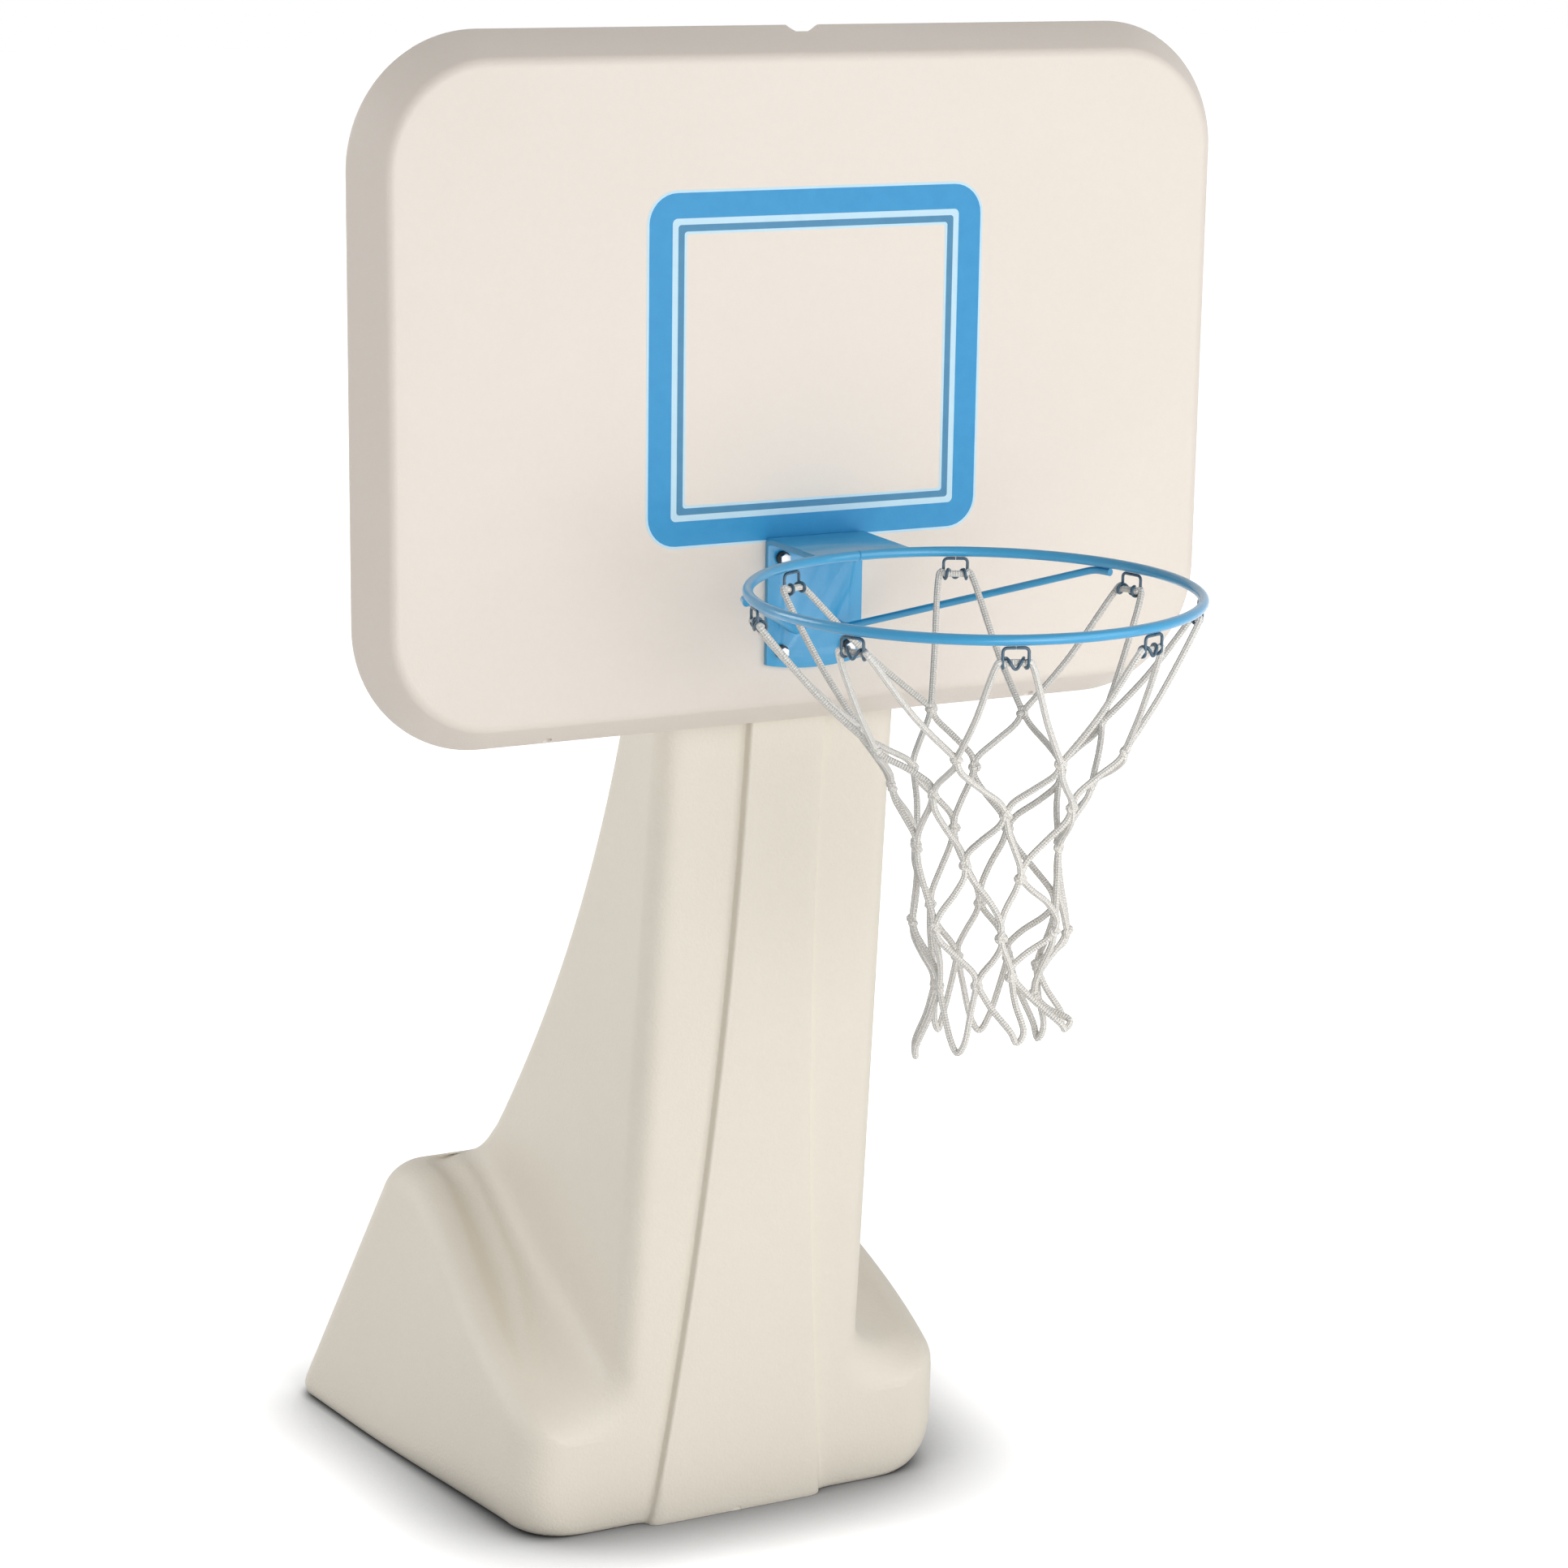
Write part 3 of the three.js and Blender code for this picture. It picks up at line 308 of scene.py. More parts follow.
def addStage():
    bpy.ops.mesh.primitive_plane_add(size=lighting["floorSpan"])
    floor = bpy.context.object
    floor.name = "studioFloor"
    finish = Finish("studioFloor", {"Roughness": 0.9})
    ray = finish.node("ShaderNodeLightPath", output="Is Camera Ray")
    glossy = finish.node("ShaderNodeLightPath", output="Is Glossy Ray")
    seen = ray.maths("MAXIMUM", glossy)
    distance = finish.node("ShaderNodeVectorMath", {"operation": "LENGTH"}, [finish.spots()], "Value")
    away = finish.band(distance, lighting["fadeStart"], lighting["fadeEnd"])
    reach = {"Distance": lighting["contactReach"]}
    # the floor's colour and glow darken by ambient occlusion near the object: a painted contact shadow
    near = finish.node("ShaderNodeAmbientOcclusion", {"samples": 24}, reach, "AO")
    shade = near * near
    grey = lighting["floorGrey"]
    finish.feed("Base Color", finish.tint(shade, (0, 0, 0, 1), (grey, grey, grey, 1)))
    glow = seen * (away * (1 - lighting["floorGlow"]) + lighting["floorGlow"]) * shade
    finish.shader.inputs["Emission Color"].default_value = (1, 1, 1, 1)
    finish.tree.links.new(glow.socket, finish.shader.inputs["Emission Strength"])
    floor.data.materials.append(finish.material)


def addWorld():  # white to the camera and in reflections, and a plain dim light for all else
    world = bpy.data.worlds.new("studioWorld")
    bpy.context.scene.world = world
    world.use_nodes = True
    tree = world.node_tree
    back = tree.nodes["Background"]
    path = tree.nodes.new("ShaderNodeLightPath")
    first = tree.nodes.new("ShaderNodeMath")
    first.operation = "MAXIMUM"
    tree.links.new(path.outputs["Is Camera Ray"], first.inputs[0])
    tree.links.new(path.outputs["Is Glossy Ray"], first.inputs[1])
    level = tree.nodes.new("ShaderNodeMapRange")
    level.inputs["To Min"].default_value = lighting["world"]
    level.inputs["To Max"].default_value = 1
    tree.links.new(first.outputs[0], level.inputs["Value"])
    tree.links.new(level.outputs[0], back.inputs["Strength"])
    back.inputs["Color"].default_value = (1, 1, 1, 1)


bpy.context.scene.view_settings.view_transform = "Standard"
addCamera()
addStage()
addWorld()
for lampName in ("key", "fill", "low"):
    addLamp(f"{lampName}Lamp", **lighting[lampName])
print("camera, floor and lamps set")


def pick(piece):
    bpy.ops.object.select_all(action="DESELECT")
    piece.select_set(True)
    bpy.context.view_layer.objects.active = piece


def openEdit(piece):
    pick(piece)
    bpy.ops.object.mode_set(mode="EDIT")


def closeEdit():
    bpy.ops.object.mode_set(mode="OBJECT")


def choose(kind, test):  # selects the faces, edges or points that pass a test
    bpy.ops.mesh.select_mode(type=kind)
    bpy.ops.mesh.select_all(action="DESELECT")
    mesh = bpy.context.edit_object.data
    shape = bmesh.from_edit_mesh(mesh)
    for element in {"VERT": shape.verts, "EDGE": shape.edges, "FACE": shape.faces}[kind]:
        if test(element):
            element.select_set(True)
    shape.select_flush_mode()
    bmesh.update_edit_mesh(mesh)


def settle(piece):  # puts the place, turn and size of an object into its mesh
    pick(piece)
    bpy.ops.object.transform_apply(location=True, rotation=True, scale=True)


def applyModifier(piece, kind, settings):
    modifier = piece.modifiers.new(kind.lower(), kind)
    for key, setting in settings.items():
        setattr(modifier, key, setting)
    pick(piece)
    bpy.ops.object.modifier_apply(modifier=modifier.name)


def carve(piece, cutter):
    settle(cutter)
    applyModifier(piece, "BOOLEAN", {"operation": "DIFFERENCE", "object": cutter, "solver": "EXACT"})
    bpy.data.objects.remove(cutter)


def finishPiece(piece, finish, nodes, body="hoop", angle=35):
    settle(piece)
    bpy.ops.object.shade_smooth_by_angle(angle=math.radians(angle))
    piece.data.materials.clear()
    piece.data.materials.append(finish.material)
    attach(piece, body)
    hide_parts(*nodes)
    bpy.ops.object.select_all(action="DESELECT")


def copyNode(node, name):  # a merged copy of a CAD node, with its flat faces whole again
    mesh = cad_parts[node].data.copy()
    piece = bpy.data.objects.new(name, mesh)
    bpy.context.scene.collection.objects.link(piece)
    openEdit(piece)
    bpy.ops.mesh.select_all(action="SELECT")
    bpy.ops.mesh.remove_doubles(threshold=0.01 * mm)
    bpy.ops.mesh.dissolve_limited(angle_limit=math.radians(1))
    closeEdit()
    return piece


def softEdges(piece, width, segments):
    applyModifier(piece, "BEVEL", {
        "width": width * mm, "segments": segments,
        "limit_method": "ANGLE", "angle_limit": math.radians(30)})


stand = {  # millimetres; a half is a half width, a setback is behind the board's face, a draft is a slope
    "boardBottom": 734, "panelHead": 38.3, "panelFoot": 114.3,
    "panelHeadHalf": 34, "panelFootHalf": 83, "panelStep": 8, "panelRound": 2.5,
    "stepDraft": 0.6, "stepFillet": 1.2, "padRamp": 11,
    "columnHeadHalf": 110, "columnFootHalf": 120, "columnRearHalf": 103,
    "columnFrontCorner": 21, "columnRearCorner": 25, "columnTop": 960, "topRound": 15,
    "neckHeight": 713, "neckSetback": 159, "flareHeight": 464, "flareReach": 176, "flareCurve": 126,
    "tankFrontHalf": 206, "tankRearHalf": 266, "tankFront": 118, "tankRear": 548,
    "frontDraft": 0.03, "sideDraft": 0.265, "rearDraft": 0.27,
    "shoulderHeight": 114, "shoulderSetback": 112, "kneeHeight": 241, "kneeSetback": 425, "kneeBlend": 10,
    "ridgeRound": 24, "valleyDepth": 6, "valleyStart": 140, "valleyFull": 300,
    "filletRise": 38, "filletRearRise": 10,
    "tankFrontCorner": 44, "tankRearCorner": 32, "tankTopCorner": 16,
    "footInset": 16, "footRise": 18, "cornerFootInset": 13, "frontFootInset": 7, "frontFootRise": 52,
    "panelFootRound": 3, "panelFootEdge": 13, "panelFootFillet": 14, "mouldNick": 9,
}

standSteps = {  # how many faces each stretch of the loft has, first round it and then up it
    "panel": 6, "edge": 5, "step": 3, "flank": 8, "corner": 9, "side": 42, "rear": 8,
    "foot": 7, "wall": 12, "ridge": 9, "shoulder": 26, "column": 46, "ramp": 3, "pad": 4, "top": 9,
}


def shoulderAt(y):  # height of the tank's top: a slope up to the knee, then level
    s = stand
    slope = (s["kneeHeight"] - s["shoulderHeight"]) / (s["kneeSetback"] - s["shoulderSetback"])
    climb = s["shoulderHeight"] + slope * (y - s["shoulderSetback"])
    share = limit(0.5 + 0.5 * (climb - s["kneeHeight"]) / s["kneeBlend"])
    return mix(climb, s["kneeHeight"], share) - s["kneeBlend"] * share * (1 - share)


def panelFaceAt(z):
    return mix(stand["panelFoot"], stand["panelHead"], limit(z / stand["boardBottom"]))


def panelStepAt(z):
    return stand["panelStep"] * limit((stand["boardBottom"] + stand["padRamp"] - z) / stand["padRamp"])


def panelHalfAt(z):
    down = limit(1 - z / stand["boardBottom"])
    return stand["panelHeadHalf"] + (stand["panelFootHalf"] - stand["panelHeadHalf"]) * down ** 2


def columnBackAt(z):
    down = (stand["neckHeight"] - z) / stand["flareHeight"]
    return stand["neckSetback"] + stand["flareReach"] * down + stand["flareCurve"] * down ** 2


def liftAt(acrossShare, y):  # how far the tank's top rises from its ridge, past the valley, to the column
    s = stand
    body = ease(y, s["valleyStart"], s["valleyFull"])
    rear = ease(y, s["kneeSetback"], s["tankRear"] - s["rearDraft"] * s["kneeHeight"])
    start = mix(0.1, 0.64, body)
    climb = limit((acrossShare - start) / (1 - start))
    rise = mix(s["filletRise"], s["filletRearRise"], rear) * (1 - math.sqrt(1 - climb ** 2))
    valley = math.sin(math.pi * limit(acrossShare / start)) ** 2
    return rise - s["valleyDepth"] * valley * body * (1 - rear)


def frontShareAt(y):  # 1 at the front of the tank's sides, 0 where their full draft begins
    return 1 - ease(y, stand["tankFront"], stand["kneeSetback"])


def tankPlan(inset, cornerInset):
    s = stand
    spread = (s["tankRearHalf"] - s["tankFrontHalf"]) / (s["tankRear"] - s["tankFront"])

    def sideAt(y, z):
        draft = mix(s["sideDraft"], s["frontDraft"], frontShareAt(y))
        half = s["tankFrontHalf"] + spread * (y - s["tankFront"]) - draft * z
        return half - inset - cornerInset * frontShareAt(y)

    return {
        "front": s["tankFrontCorner"],
        "rear": max(s["tankRearCorner"] - inset, s["tankTopCorner"]),
        "rearAt": lambda z: s["tankRear"] - s["rearDraft"] * z - inset,
        "sideAt": sideAt,
    }


def columnPlan(inset):
    s = stand

    def sideAt(y, z):
        flank = panelFaceAt(z) + panelStepAt(z)
        share = limit((y - flank) / (columnBackAt(z) - flank))
        half = mix(s["columnFootHalf"], s["columnHeadHalf"], limit(z / s["boardBottom"]))
        return mix(half, s["columnRearHalf"], share) - inset

    return {
        "front": s["columnFrontCorner"],
        "rear": max(s["columnRearCorner"] - inset, s["tankTopCorner"]),
        "rearAt": lambda z: columnBackAt(z) - inset,
        "sideAt": sideAt,
    }


def standStations():  # the stations of half a ring, from the middle of the panel to the middle of the rear
    n = standSteps
    stations = [("panel", share) for share in steps(n["panel"])]
    stations += [("edge", share) for share in steps(n["edge"])[1:]]
    stations += [("step", share) for share in steps(n["step"])]
    stations += [("flank", share) for share in steps(n["flank"])[1:]]
    stations += [("frontCorner", quarterTurn * (share - 1)) for share in steps(n["corner"])[1:]]
    stations += [("side", share) for share in steps(n["side"])[1:]]
    stations += [("rearCorner", quarterTurn * share) for share in steps(n["corner"])[1:]]
    stations += [("rear", share) for share in steps(n["rear"], 1, 0)[1:]]
    return stations


def planPoint(station, z, shape, panelInset, flankInset):
    zone, share = station
    s = stand
    face = panelFaceAt(z) + panelInset
    flank = panelFaceAt(z) + panelStepAt(z) + flankInset
    edge = panelHalfAt(z)
    low = 1 - ease(z, 0, s["frontFootRise"])
    edgeRound = mix(s["panelRound"], s["panelFootEdge"], low)
    stepFillet = mix(s["stepFillet"], s["panelFootFillet"], low)
    edgeDeep = min(edgeRound, (flank - face) / 2)
    filletDeep = min(stepFillet, (flank - face) / 3)
    rear = shape["rearAt"](z)
    frontMiddle = shape["sideAt"](flank + shape["front"], z) - shape["front"]
    rearMiddle = shape["sideAt"](rear - shape["rear"], z) - shape["rear"]
    if zone == "panel":
        return (edge - edgeRound) * share, face
    if zone == "edge":
        angle = quarterTurn * share
        return edge - edgeRound * (1 - math.sin(angle)), face + edgeDeep * (1 - math.cos(angle))
    foot = edge + s["stepDraft"]
    if zone == "step":
        angle = quarterTurn * share
        return foot + stepFillet * (1 - math.cos(angle)), flank - filletDeep * (1 - math.sin(angle))
    if zone == "flank":
        return mix(foot + stepFillet, frontMiddle, share), flank
    if zone == "frontCorner":
        across = frontMiddle + shape["front"] * math.cos(share)
        return across, flank + shape["front"] * (1 + math.sin(share))
    if zone == "side":
        y = mix(flank + shape["front"], rear - shape["rear"], share)
        return shape["sideAt"](y, z), y
    if zone == "rearCorner":
        across = rearMiddle + shape["rear"] * math.cos(share)
        return across, rear - shape["rear"] * (1 - math.sin(share))
    return rearMiddle * share, rear


def frontDrop(station):  # 1 on the front, where the tank's top edge is lower, and 0 along the sides
    zone, share = station
    if zone == "frontCorner":
        return 1 - math.cos(share)
    return 0 if zone in ("side", "rearCorner", "rear") else 1


def standLevels():
    s, n = stand, standSteps

    def topAt(y, drop):
        return shoulderAt(y) - s["ridgeRound"] * drop

    def footTop(y, drop):
        return mix(s["footRise"], s["frontFootRise"], max(drop, frontShareAt(y)))

    def level(heightAt, start, blend=0, inset=0, columnInset=0, insets=(0, 0, 0)):
        return heightAt, start, blend, inset, columnInset, *insets  # panel, flank and corner

    levels = []
    for share in steps(n["foot"]):
        climb = 1 - math.cos(quarterTurn * share)
        retreat = 1 - math.sin(quarterTurn * share)
        levels.append(level(
            lambda y, drop, climb=climb: footTop(y, drop) * climb, 0, 0, s["footInset"] * retreat, 0,
            [s[key] * retreat for key in ("panelFootRound", "frontFootInset", "cornerFootInset")]))
    for share in steps(n["wall"])[1:-1]:
        levels.append(level(
            lambda y, drop, share=share: mix(footTop(y, drop), topAt(y, 1), share), s["shoulderHeight"]))
    for share in steps(n["ridge"]):
        low = 1 - math.sin(quarterTurn * share)
        inset = s["ridgeRound"] * (1 - math.cos(quarterTurn * share))
        levels.append(level(
            lambda y, drop, low=low: topAt(y, max(low, drop)), s["shoulderHeight"], 0, inset))
    for share in steps(n["shoulder"])[1:]:
        levels.append(level(
            lambda y, drop, share=share: topAt(y, drop) + liftAt(share, y),
            s["shoulderHeight"], share, s["ridgeRound"]))
    for share in steps(n["column"])[1:]:
        levels.append(level(
            lambda y, drop, climb=share ** 1.25: mix(topAt(y, drop) + liftAt(1, y), s["boardBottom"], climb),
            s["kneeHeight"], 1, s["ridgeRound"]))
    rampTop = s["boardBottom"] + s["padRamp"]
    roundFoot = s["columnTop"] - s["topRound"]
    heights = steps(n["ramp"], s["boardBottom"], rampTop)[1:] + steps(n["pad"], rampTop, roundFoot)[1:-1]
    for z in heights:
        levels.append(level(lambda y, drop, z=z: z, z, 1))
    for share in steps(n["top"]):
        z = s["columnTop"] - s["topRound"] * (1 - math.sin(quarterTurn * share))
        inset = s["topRound"] * (1 - math.cos(quarterTurn * share))
        levels.append(level(lambda y, drop, z=z: z, z, 1, 0, inset, (inset, inset, 0)))
    return levels


def standRing(entry, stations):  # a point's height and place depend on each other, so it takes turns
    heightAt, start, blend, inset, columnInset, panelInset, flankInset, cornerInset = entry
    tank, column = tankPlan(inset, cornerInset), columnPlan(columnInset)
    half = []
    for station in stations:
        z, drop = start, frontDrop(station)
        for repeat in range(5):
            tankX, tankY = planPoint(station, z, tank, panelInset, flankInset)
            columnX, columnY = planPoint(station, z, column, panelInset, flankInset)
            x, y = mix(tankX, columnX, blend), mix(tankY, columnY, blend)
            z = heightAt(y, drop)
        half.append((x, y, z))
    return half + [(-x, y, z) for x, y, z in reversed(half[1:-1])]


def rearWall(height):  # a frame on the sloping rear wall, its Z straight out of the wall
    tilt = Matrix.Rotation(-math.atan(1 / stand["rearDraft"]), 4, "X")
    return Matrix.Translation(place(0, stand["tankRear"] - stand["rearDraft"] * height, height)) @ tilt


def turnedCutter(frameHere, radius, low, high, lip):  # a round cutter whose mouth flares by its lip
    bpy.ops.mesh.primitive_cylinder_add(vertices=96, radius=radius * mm, depth=(high - low) * mm)
    cutter = bpy.context.object
    cutter.data.transform(Matrix.Translation((0, 0, (low + high) / 2 * mm)))
    openEdit(cutter)
    choose("EDGE", lambda edge: all(v.co.z < low * mm + 1e-6 for v in edge.verts))
    bpy.ops.mesh.bevel(offset=lip * mm, segments=5, affect="EDGES")
    closeEdit()
    cutter.data.transform(frameHere)
    return cutter


def makeStand():
    stations = standStations()
    rings = [standRing(entry, stations) for entry in standLevels()]
    around = len(rings[0])
    bpy.ops.mesh.primitive_grid_add(x_subdivisions=around, y_subdivisions=len(rings) - 1, size=1)
    piece = bpy.context.object
    piece.name = "waterStand"
    across = around + 1
    for index, vertex in enumerate(piece.data.vertices):
        vertex.co = place(*rings[index // across][index % across % around])
    openEdit(piece)
    bpy.ops.mesh.select_all(action="SELECT")
    bpy.ops.mesh.remove_doubles(threshold=0.02 * mm)
    choose("EDGE", lambda edge: edge.is_boundary)
    bpy.ops.mesh.edge_face_add()
    bpy.ops.mesh.select_all(action="SELECT")
    bpy.ops.mesh.normals_make_consistent(inside=False)
    closeEdit()
    return piece


def seatCutters(plug):  # the recess and the bore behind a plug
    here = rearWall(plug["height"])
    depth = plug["recessDepth"]
    recess = turnedCutter(here, plug["recess"] / 2, -depth, plug["recess"] / 2, plug["lip"])
    bore = turnedCutter(here, plug["bore"] / 2, -depth - plug["boreDepth"], -depth / 2, plug["lip"])
    return recess, bore


fillSeat = {"height": 176, "bore": 50, "recess": 84, "recessDepth": 12, "boreDepth": 60, "lip": 2.5}
drainSeat = {"height": 46, "bore": 20, "recess": 46, "recessDepth": 8, "boreDepth": 40, "lip": 1.6}

waterStand = makeStand()
for seat in (fillSeat, drainSeat):
    for cutter in seatCutters(seat):
        carve(waterStand, cutter)
nickDepth = stand["panelFoot"] + stand["panelFootRound"]
bpy.ops.mesh.primitive_cylinder_add(
    vertices=40, radius=stand["mouldNick"] / 2 * mm, depth=16 * mm, rotation=(quarterTurn, 0, 0),
    location=place(0, nickDepth - 8, 0))
carve(waterStand, bpy.context.object)
finishPiece(waterStand, creamPlastic, ["base_shell"])
print("stand lofted and its seats cut", len(waterStand.data.vertices))


board = {
    "width": 762, "height": 559, "depth": 38, "bottom": 734, "corner": 105, "border": 22,
    "edgeDepth": 33, "frontRound": 5.5, "edgeRound": 0.8, "backRound": 4, "cornerSteps": 28,
    "notchRadius": 18.5, "notchDrop": 7, "notchDepth": 12,
    "weepBore": 8, "weepSpacing": 440, "weepDepth": 28, "boltBore": 5.6,
}
boltPlaces = [(-30, 877), (30, 877), (-30, 800.5), (30, 800.5)]  # across and up


def makeBoard():
    b = board
    middle = place(0, b["depth"] / 2, b["bottom"] + b["height"] / 2)
    bpy.ops.mesh.primitive_cube_add(
        size=1, location=middle, scale=(b["width"] * mm, b["depth"] * mm, b["height"] * mm))
    piece = bpy.context.object
    piece.name = "hollowBackboard"
    settle(piece)
    openEdit(piece)
    choose("EDGE", lambda edge: abs((edge.verts[0].co - edge.verts[1].co).y) > b["depth"] / 2 * mm)
    bpy.ops.mesh.bevel(offset=b["corner"] * mm, segments=b["cornerSteps"], affect="EDGES")
    front = faceY
    choose("FACE", lambda face: face.normal.y < -0.9)
    bpy.ops.mesh.inset(thickness=b["border"] * mm, use_even_offset=True)
    choose("VERT", lambda v: abs(v.co.y - front) < 0.1 * mm and any(
        abs(face.normal.y) < 0.1 for face in v.link_faces))
    bpy.ops.transform.translate(value=(0, b["edgeDepth"] * mm, 0))
    edgeY = front + b["edgeDepth"] * mm
    backY = front + b["depth"] * mm

    def onLoop(depth):
        return lambda edge: all(abs(v.co.y - depth) < 0.1 * mm for v in edge.verts)

    choose("EDGE", onLoop(backY))
    bpy.ops.mesh.bevel(offset=b["backRound"] * mm, segments=6, affect="EDGES")
    choose("EDGE", onLoop(edgeY))
    bpy.ops.mesh.bevel(offset=b["edgeRound"] * mm, segments=3, affect="EDGES")
    choose("EDGE", onLoop(front))
    bpy.ops.mesh.bevel(offset=b["frontRound"] * mm, segments=8, affect="EDGES")
    closeEdit()
    notchTop = b["bottom"] + b["height"] - b["notchDrop"] + b["notchRadius"]
    bores = [(b["notchRadius"], b["depth"] - b["notchDepth"], b["depth"] + 4, 0, notchTop, "Y")]
    for x, z in boltPlaces:
        bores.append((b["boltBore"] / 2, -4, b["depth"] + 4, x, z, "Y"))
    for side in (-1, 1):
        bores.append((b["weepBore"] / 2, -4, 18, side * b["weepSpacing"] / 2, b["weepDepth"], "Z"))
    for radius, low, high, across, where, direction in bores:
        middle = (low + high) / 2
        spot, turned = place(across, middle, where), (quarterTurn, 0, 0)
        if direction == "Z":
            spot, turned = place(across, where, b["bottom"] + middle), (0, 0, 0)
        bpy.ops.mesh.primitive_cylinder_add(
            vertices=48, radius=radius * mm, depth=(high - low) * mm, location=spot, rotation=turned)
        carve(piece, bpy.context.object)
    return piece


hollowBackboard = makeBoard()
finishPiece(hollowBackboard, boardPlastic, ["backboard"])
for node, finish in (("target_ground", paleInk), ("target_band", blueInk), ("target_line", dullInk)):
    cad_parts[node].material_slots[0].material = finish.material
print("backboard shaped and its target inked")


ring = {
    "radius": 169.2, "rod": 8, "reach": 265.4, "height": 893.3, "jointAngle": 92.6, "jointGap": 0.7,
    "jointPinch": 0.84, "steps": 216, "sides": 20,
}
bracket = {"sheet": 4.8, "edge": 0.6}
brace = {
    "rod": 6, "footSpread": 22, "footHeight": 819, "bend": 25, "lapOutset": 1, "bendOutset": 3,
    "endAngle": 22.7, "bendAngle": 28,
}


def ringPoint(degrees, outset=0, drop=0):
    radius = ring["radius"] + outset
    angle = math.radians(degrees)
    return place(radius * math.cos(angle), radius * math.sin(angle) - ring["reach"], ring["height"] - drop)


def makeRing():
    bpy.ops.mesh.primitive_torus_add(
        major_segments=ring["steps"], minor_segments=ring["sides"], major_radius=ring["radius"] * mm,
        minor_radius=ring["rod"] / 2 * mm, location=place(0, -ring["reach"], ring["height"]))
    piece = bpy.context.object
    piece.name = "rimRing"
    settle(piece)
    middle = place(0, -ring["reach"], ring["height"])
    spacing = 360 / ring["steps"]
    jointAngle = round(ring["jointAngle"] / spacing) * spacing
    joint = ringPoint(jointAngle)
    across = Vector((-math.sin(math.radians(jointAngle)), math.cos(math.radians(jointAngle)), 0))

    def atJoint(point, reach):
        near = (point - joint).length < ring["rod"] * mm
        return near and abs((point - joint).dot(across)) < reach * mm

    openEdit(piece)
    choose("EDGE", lambda edge: all(atJoint(v.co, 0.2) for v in edge.verts))
    bpy.ops.mesh.bevel(offset=ring["jointGap"] * mm, segments=2, affect="EDGES")
    choose("VERT", lambda v: atJoint(v.co, 0.2))
    bpy.ops.transform.resize(value=[ring["jointPinch"]] * 3, center_override=joint)
    closeEdit()
    return piece


def makeWire(name, points, radius, sides=14):  # a round rod along a chain of points, with soft ends
    line = bpy.data.curves.new(name, "CURVE")
    line.dimensions = "3D"
    line.bevel_depth = radius * mm
    line.bevel_resolution = sides // 2 - 1
    line.use_fill_caps = True
    spline = line.splines.new("POLY")
    spline.points.add(len(points) - 1)
    for target, point in zip(spline.points, points):
        target.co = (*point, 1)
    piece = bpy.data.objects.new(name, line)
    bpy.context.scene.collection.objects.link(piece)
    pick(piece)
    bpy.ops.object.convert(target="MESH")
    piece = bpy.context.object
    openEdit(piece)
    bpy.ops.mesh.select_all(action="SELECT")
    bpy.ops.mesh.remove_doubles(threshold=0.001 * mm)
    bpy.ops.mesh.normals_make_consistent(inside=False)
    closeEdit()
    return piece


def roundedChain(corners, count):  # points through corners given as (point, radius in mm)
    points = [corners[0][0]]
    for index in range(1, len(corners) - 1):
        corner, radius = corners[index]
        back = (corners[index - 1][0] - corner).normalized()
        ahead = (corners[index + 1][0] - corner).normalized()
        run = radius * mm / math.tan(back.angle(ahead) / 2)
        start, end = corner + back * run, corner + ahead * run
        for share in steps(count):
            points.append(start.lerp(corner, share).lerp(corner.lerp(end, share), share))
    return points + [corners[-1][0]]


def makeBrace(name, side):
    low = ring["rod"] / 2 + 0.3 + brace["rod"] / 2
    foot = place(side * brace["footSpread"], -bracket["sheet"] - 0.3, brace["footHeight"])
    straight = foot - Vector((0, 2 * brace["rod"] * mm, 0))

    def under(degrees, outset):
        point = ringPoint(degrees, outset, low)
        return Vector((side * point.x, point.y, point.z))

    bend = under(brace["bendAngle"], brace["bendOutset"])
    end = under(brace["endAngle"], brace["lapOutset"])
    corners = [(foot, 0), (straight, brace["rod"]), (bend, brace["bend"]), (end, 0)]
    return makeWire(name, roundedChain(corners, 10), brace["rod"] / 2, 16)


rimRing = makeRing()
finishPiece(rimRing, blueSteel, ["rim_ring"])
rimBracket = copyNode("rim_bracket", "rimBracket")
softEdges(rimBracket, bracket["edge"], 3)
finishPiece(rimBracket, blueSteel, ["rim_bracket"])
for name, node, side in (("braceLeft", "brace_left", -1), ("braceRight", "brace_right", 1)):
    finishPiece(makeBrace(name, side), blueSteel, [node])
print("ring, bracket and braces made")


# the washers' black is partly painted shade beside the bolt heads
for number in (1, 2, 3, 4):
    for kind, finish, slot, edge in (
            ("bracket_bolt", zincPlate, "zinc", 0.7), ("bracket_washer", blackNylon, "black_nylon", 0.5),
            ("column_insert", plainBrass, "brass", 0.3)):
        first, second = kind.split("_")
        piece = copyNode(f"{kind}_{number}", f"{first}{second.capitalize()}{number}")
        softEdges(piece, edge, 3)
        finishPiece(piece, finish, [f"{kind}_{number}"])
for node, name, finish, slot, edge in (
        ("fill_cap", "fillCap", whitePlastic, "white_plastic", 1.2),
        ("fill_seal", "fillSeal", blackRubber, "black_rubber", 0.5),
        ("drain_plug", "drainPlug", whitePlastic, "white_plastic", 0.9),
        ("drain_seal", "drainSeal", blackRubber, "black_rubber", 0.5)):
    piece = copyNode(node, name)
    softEdges(piece, edge, 4)
    finishPiece(piece, finish, [node], node)
print("small fittings rounded")


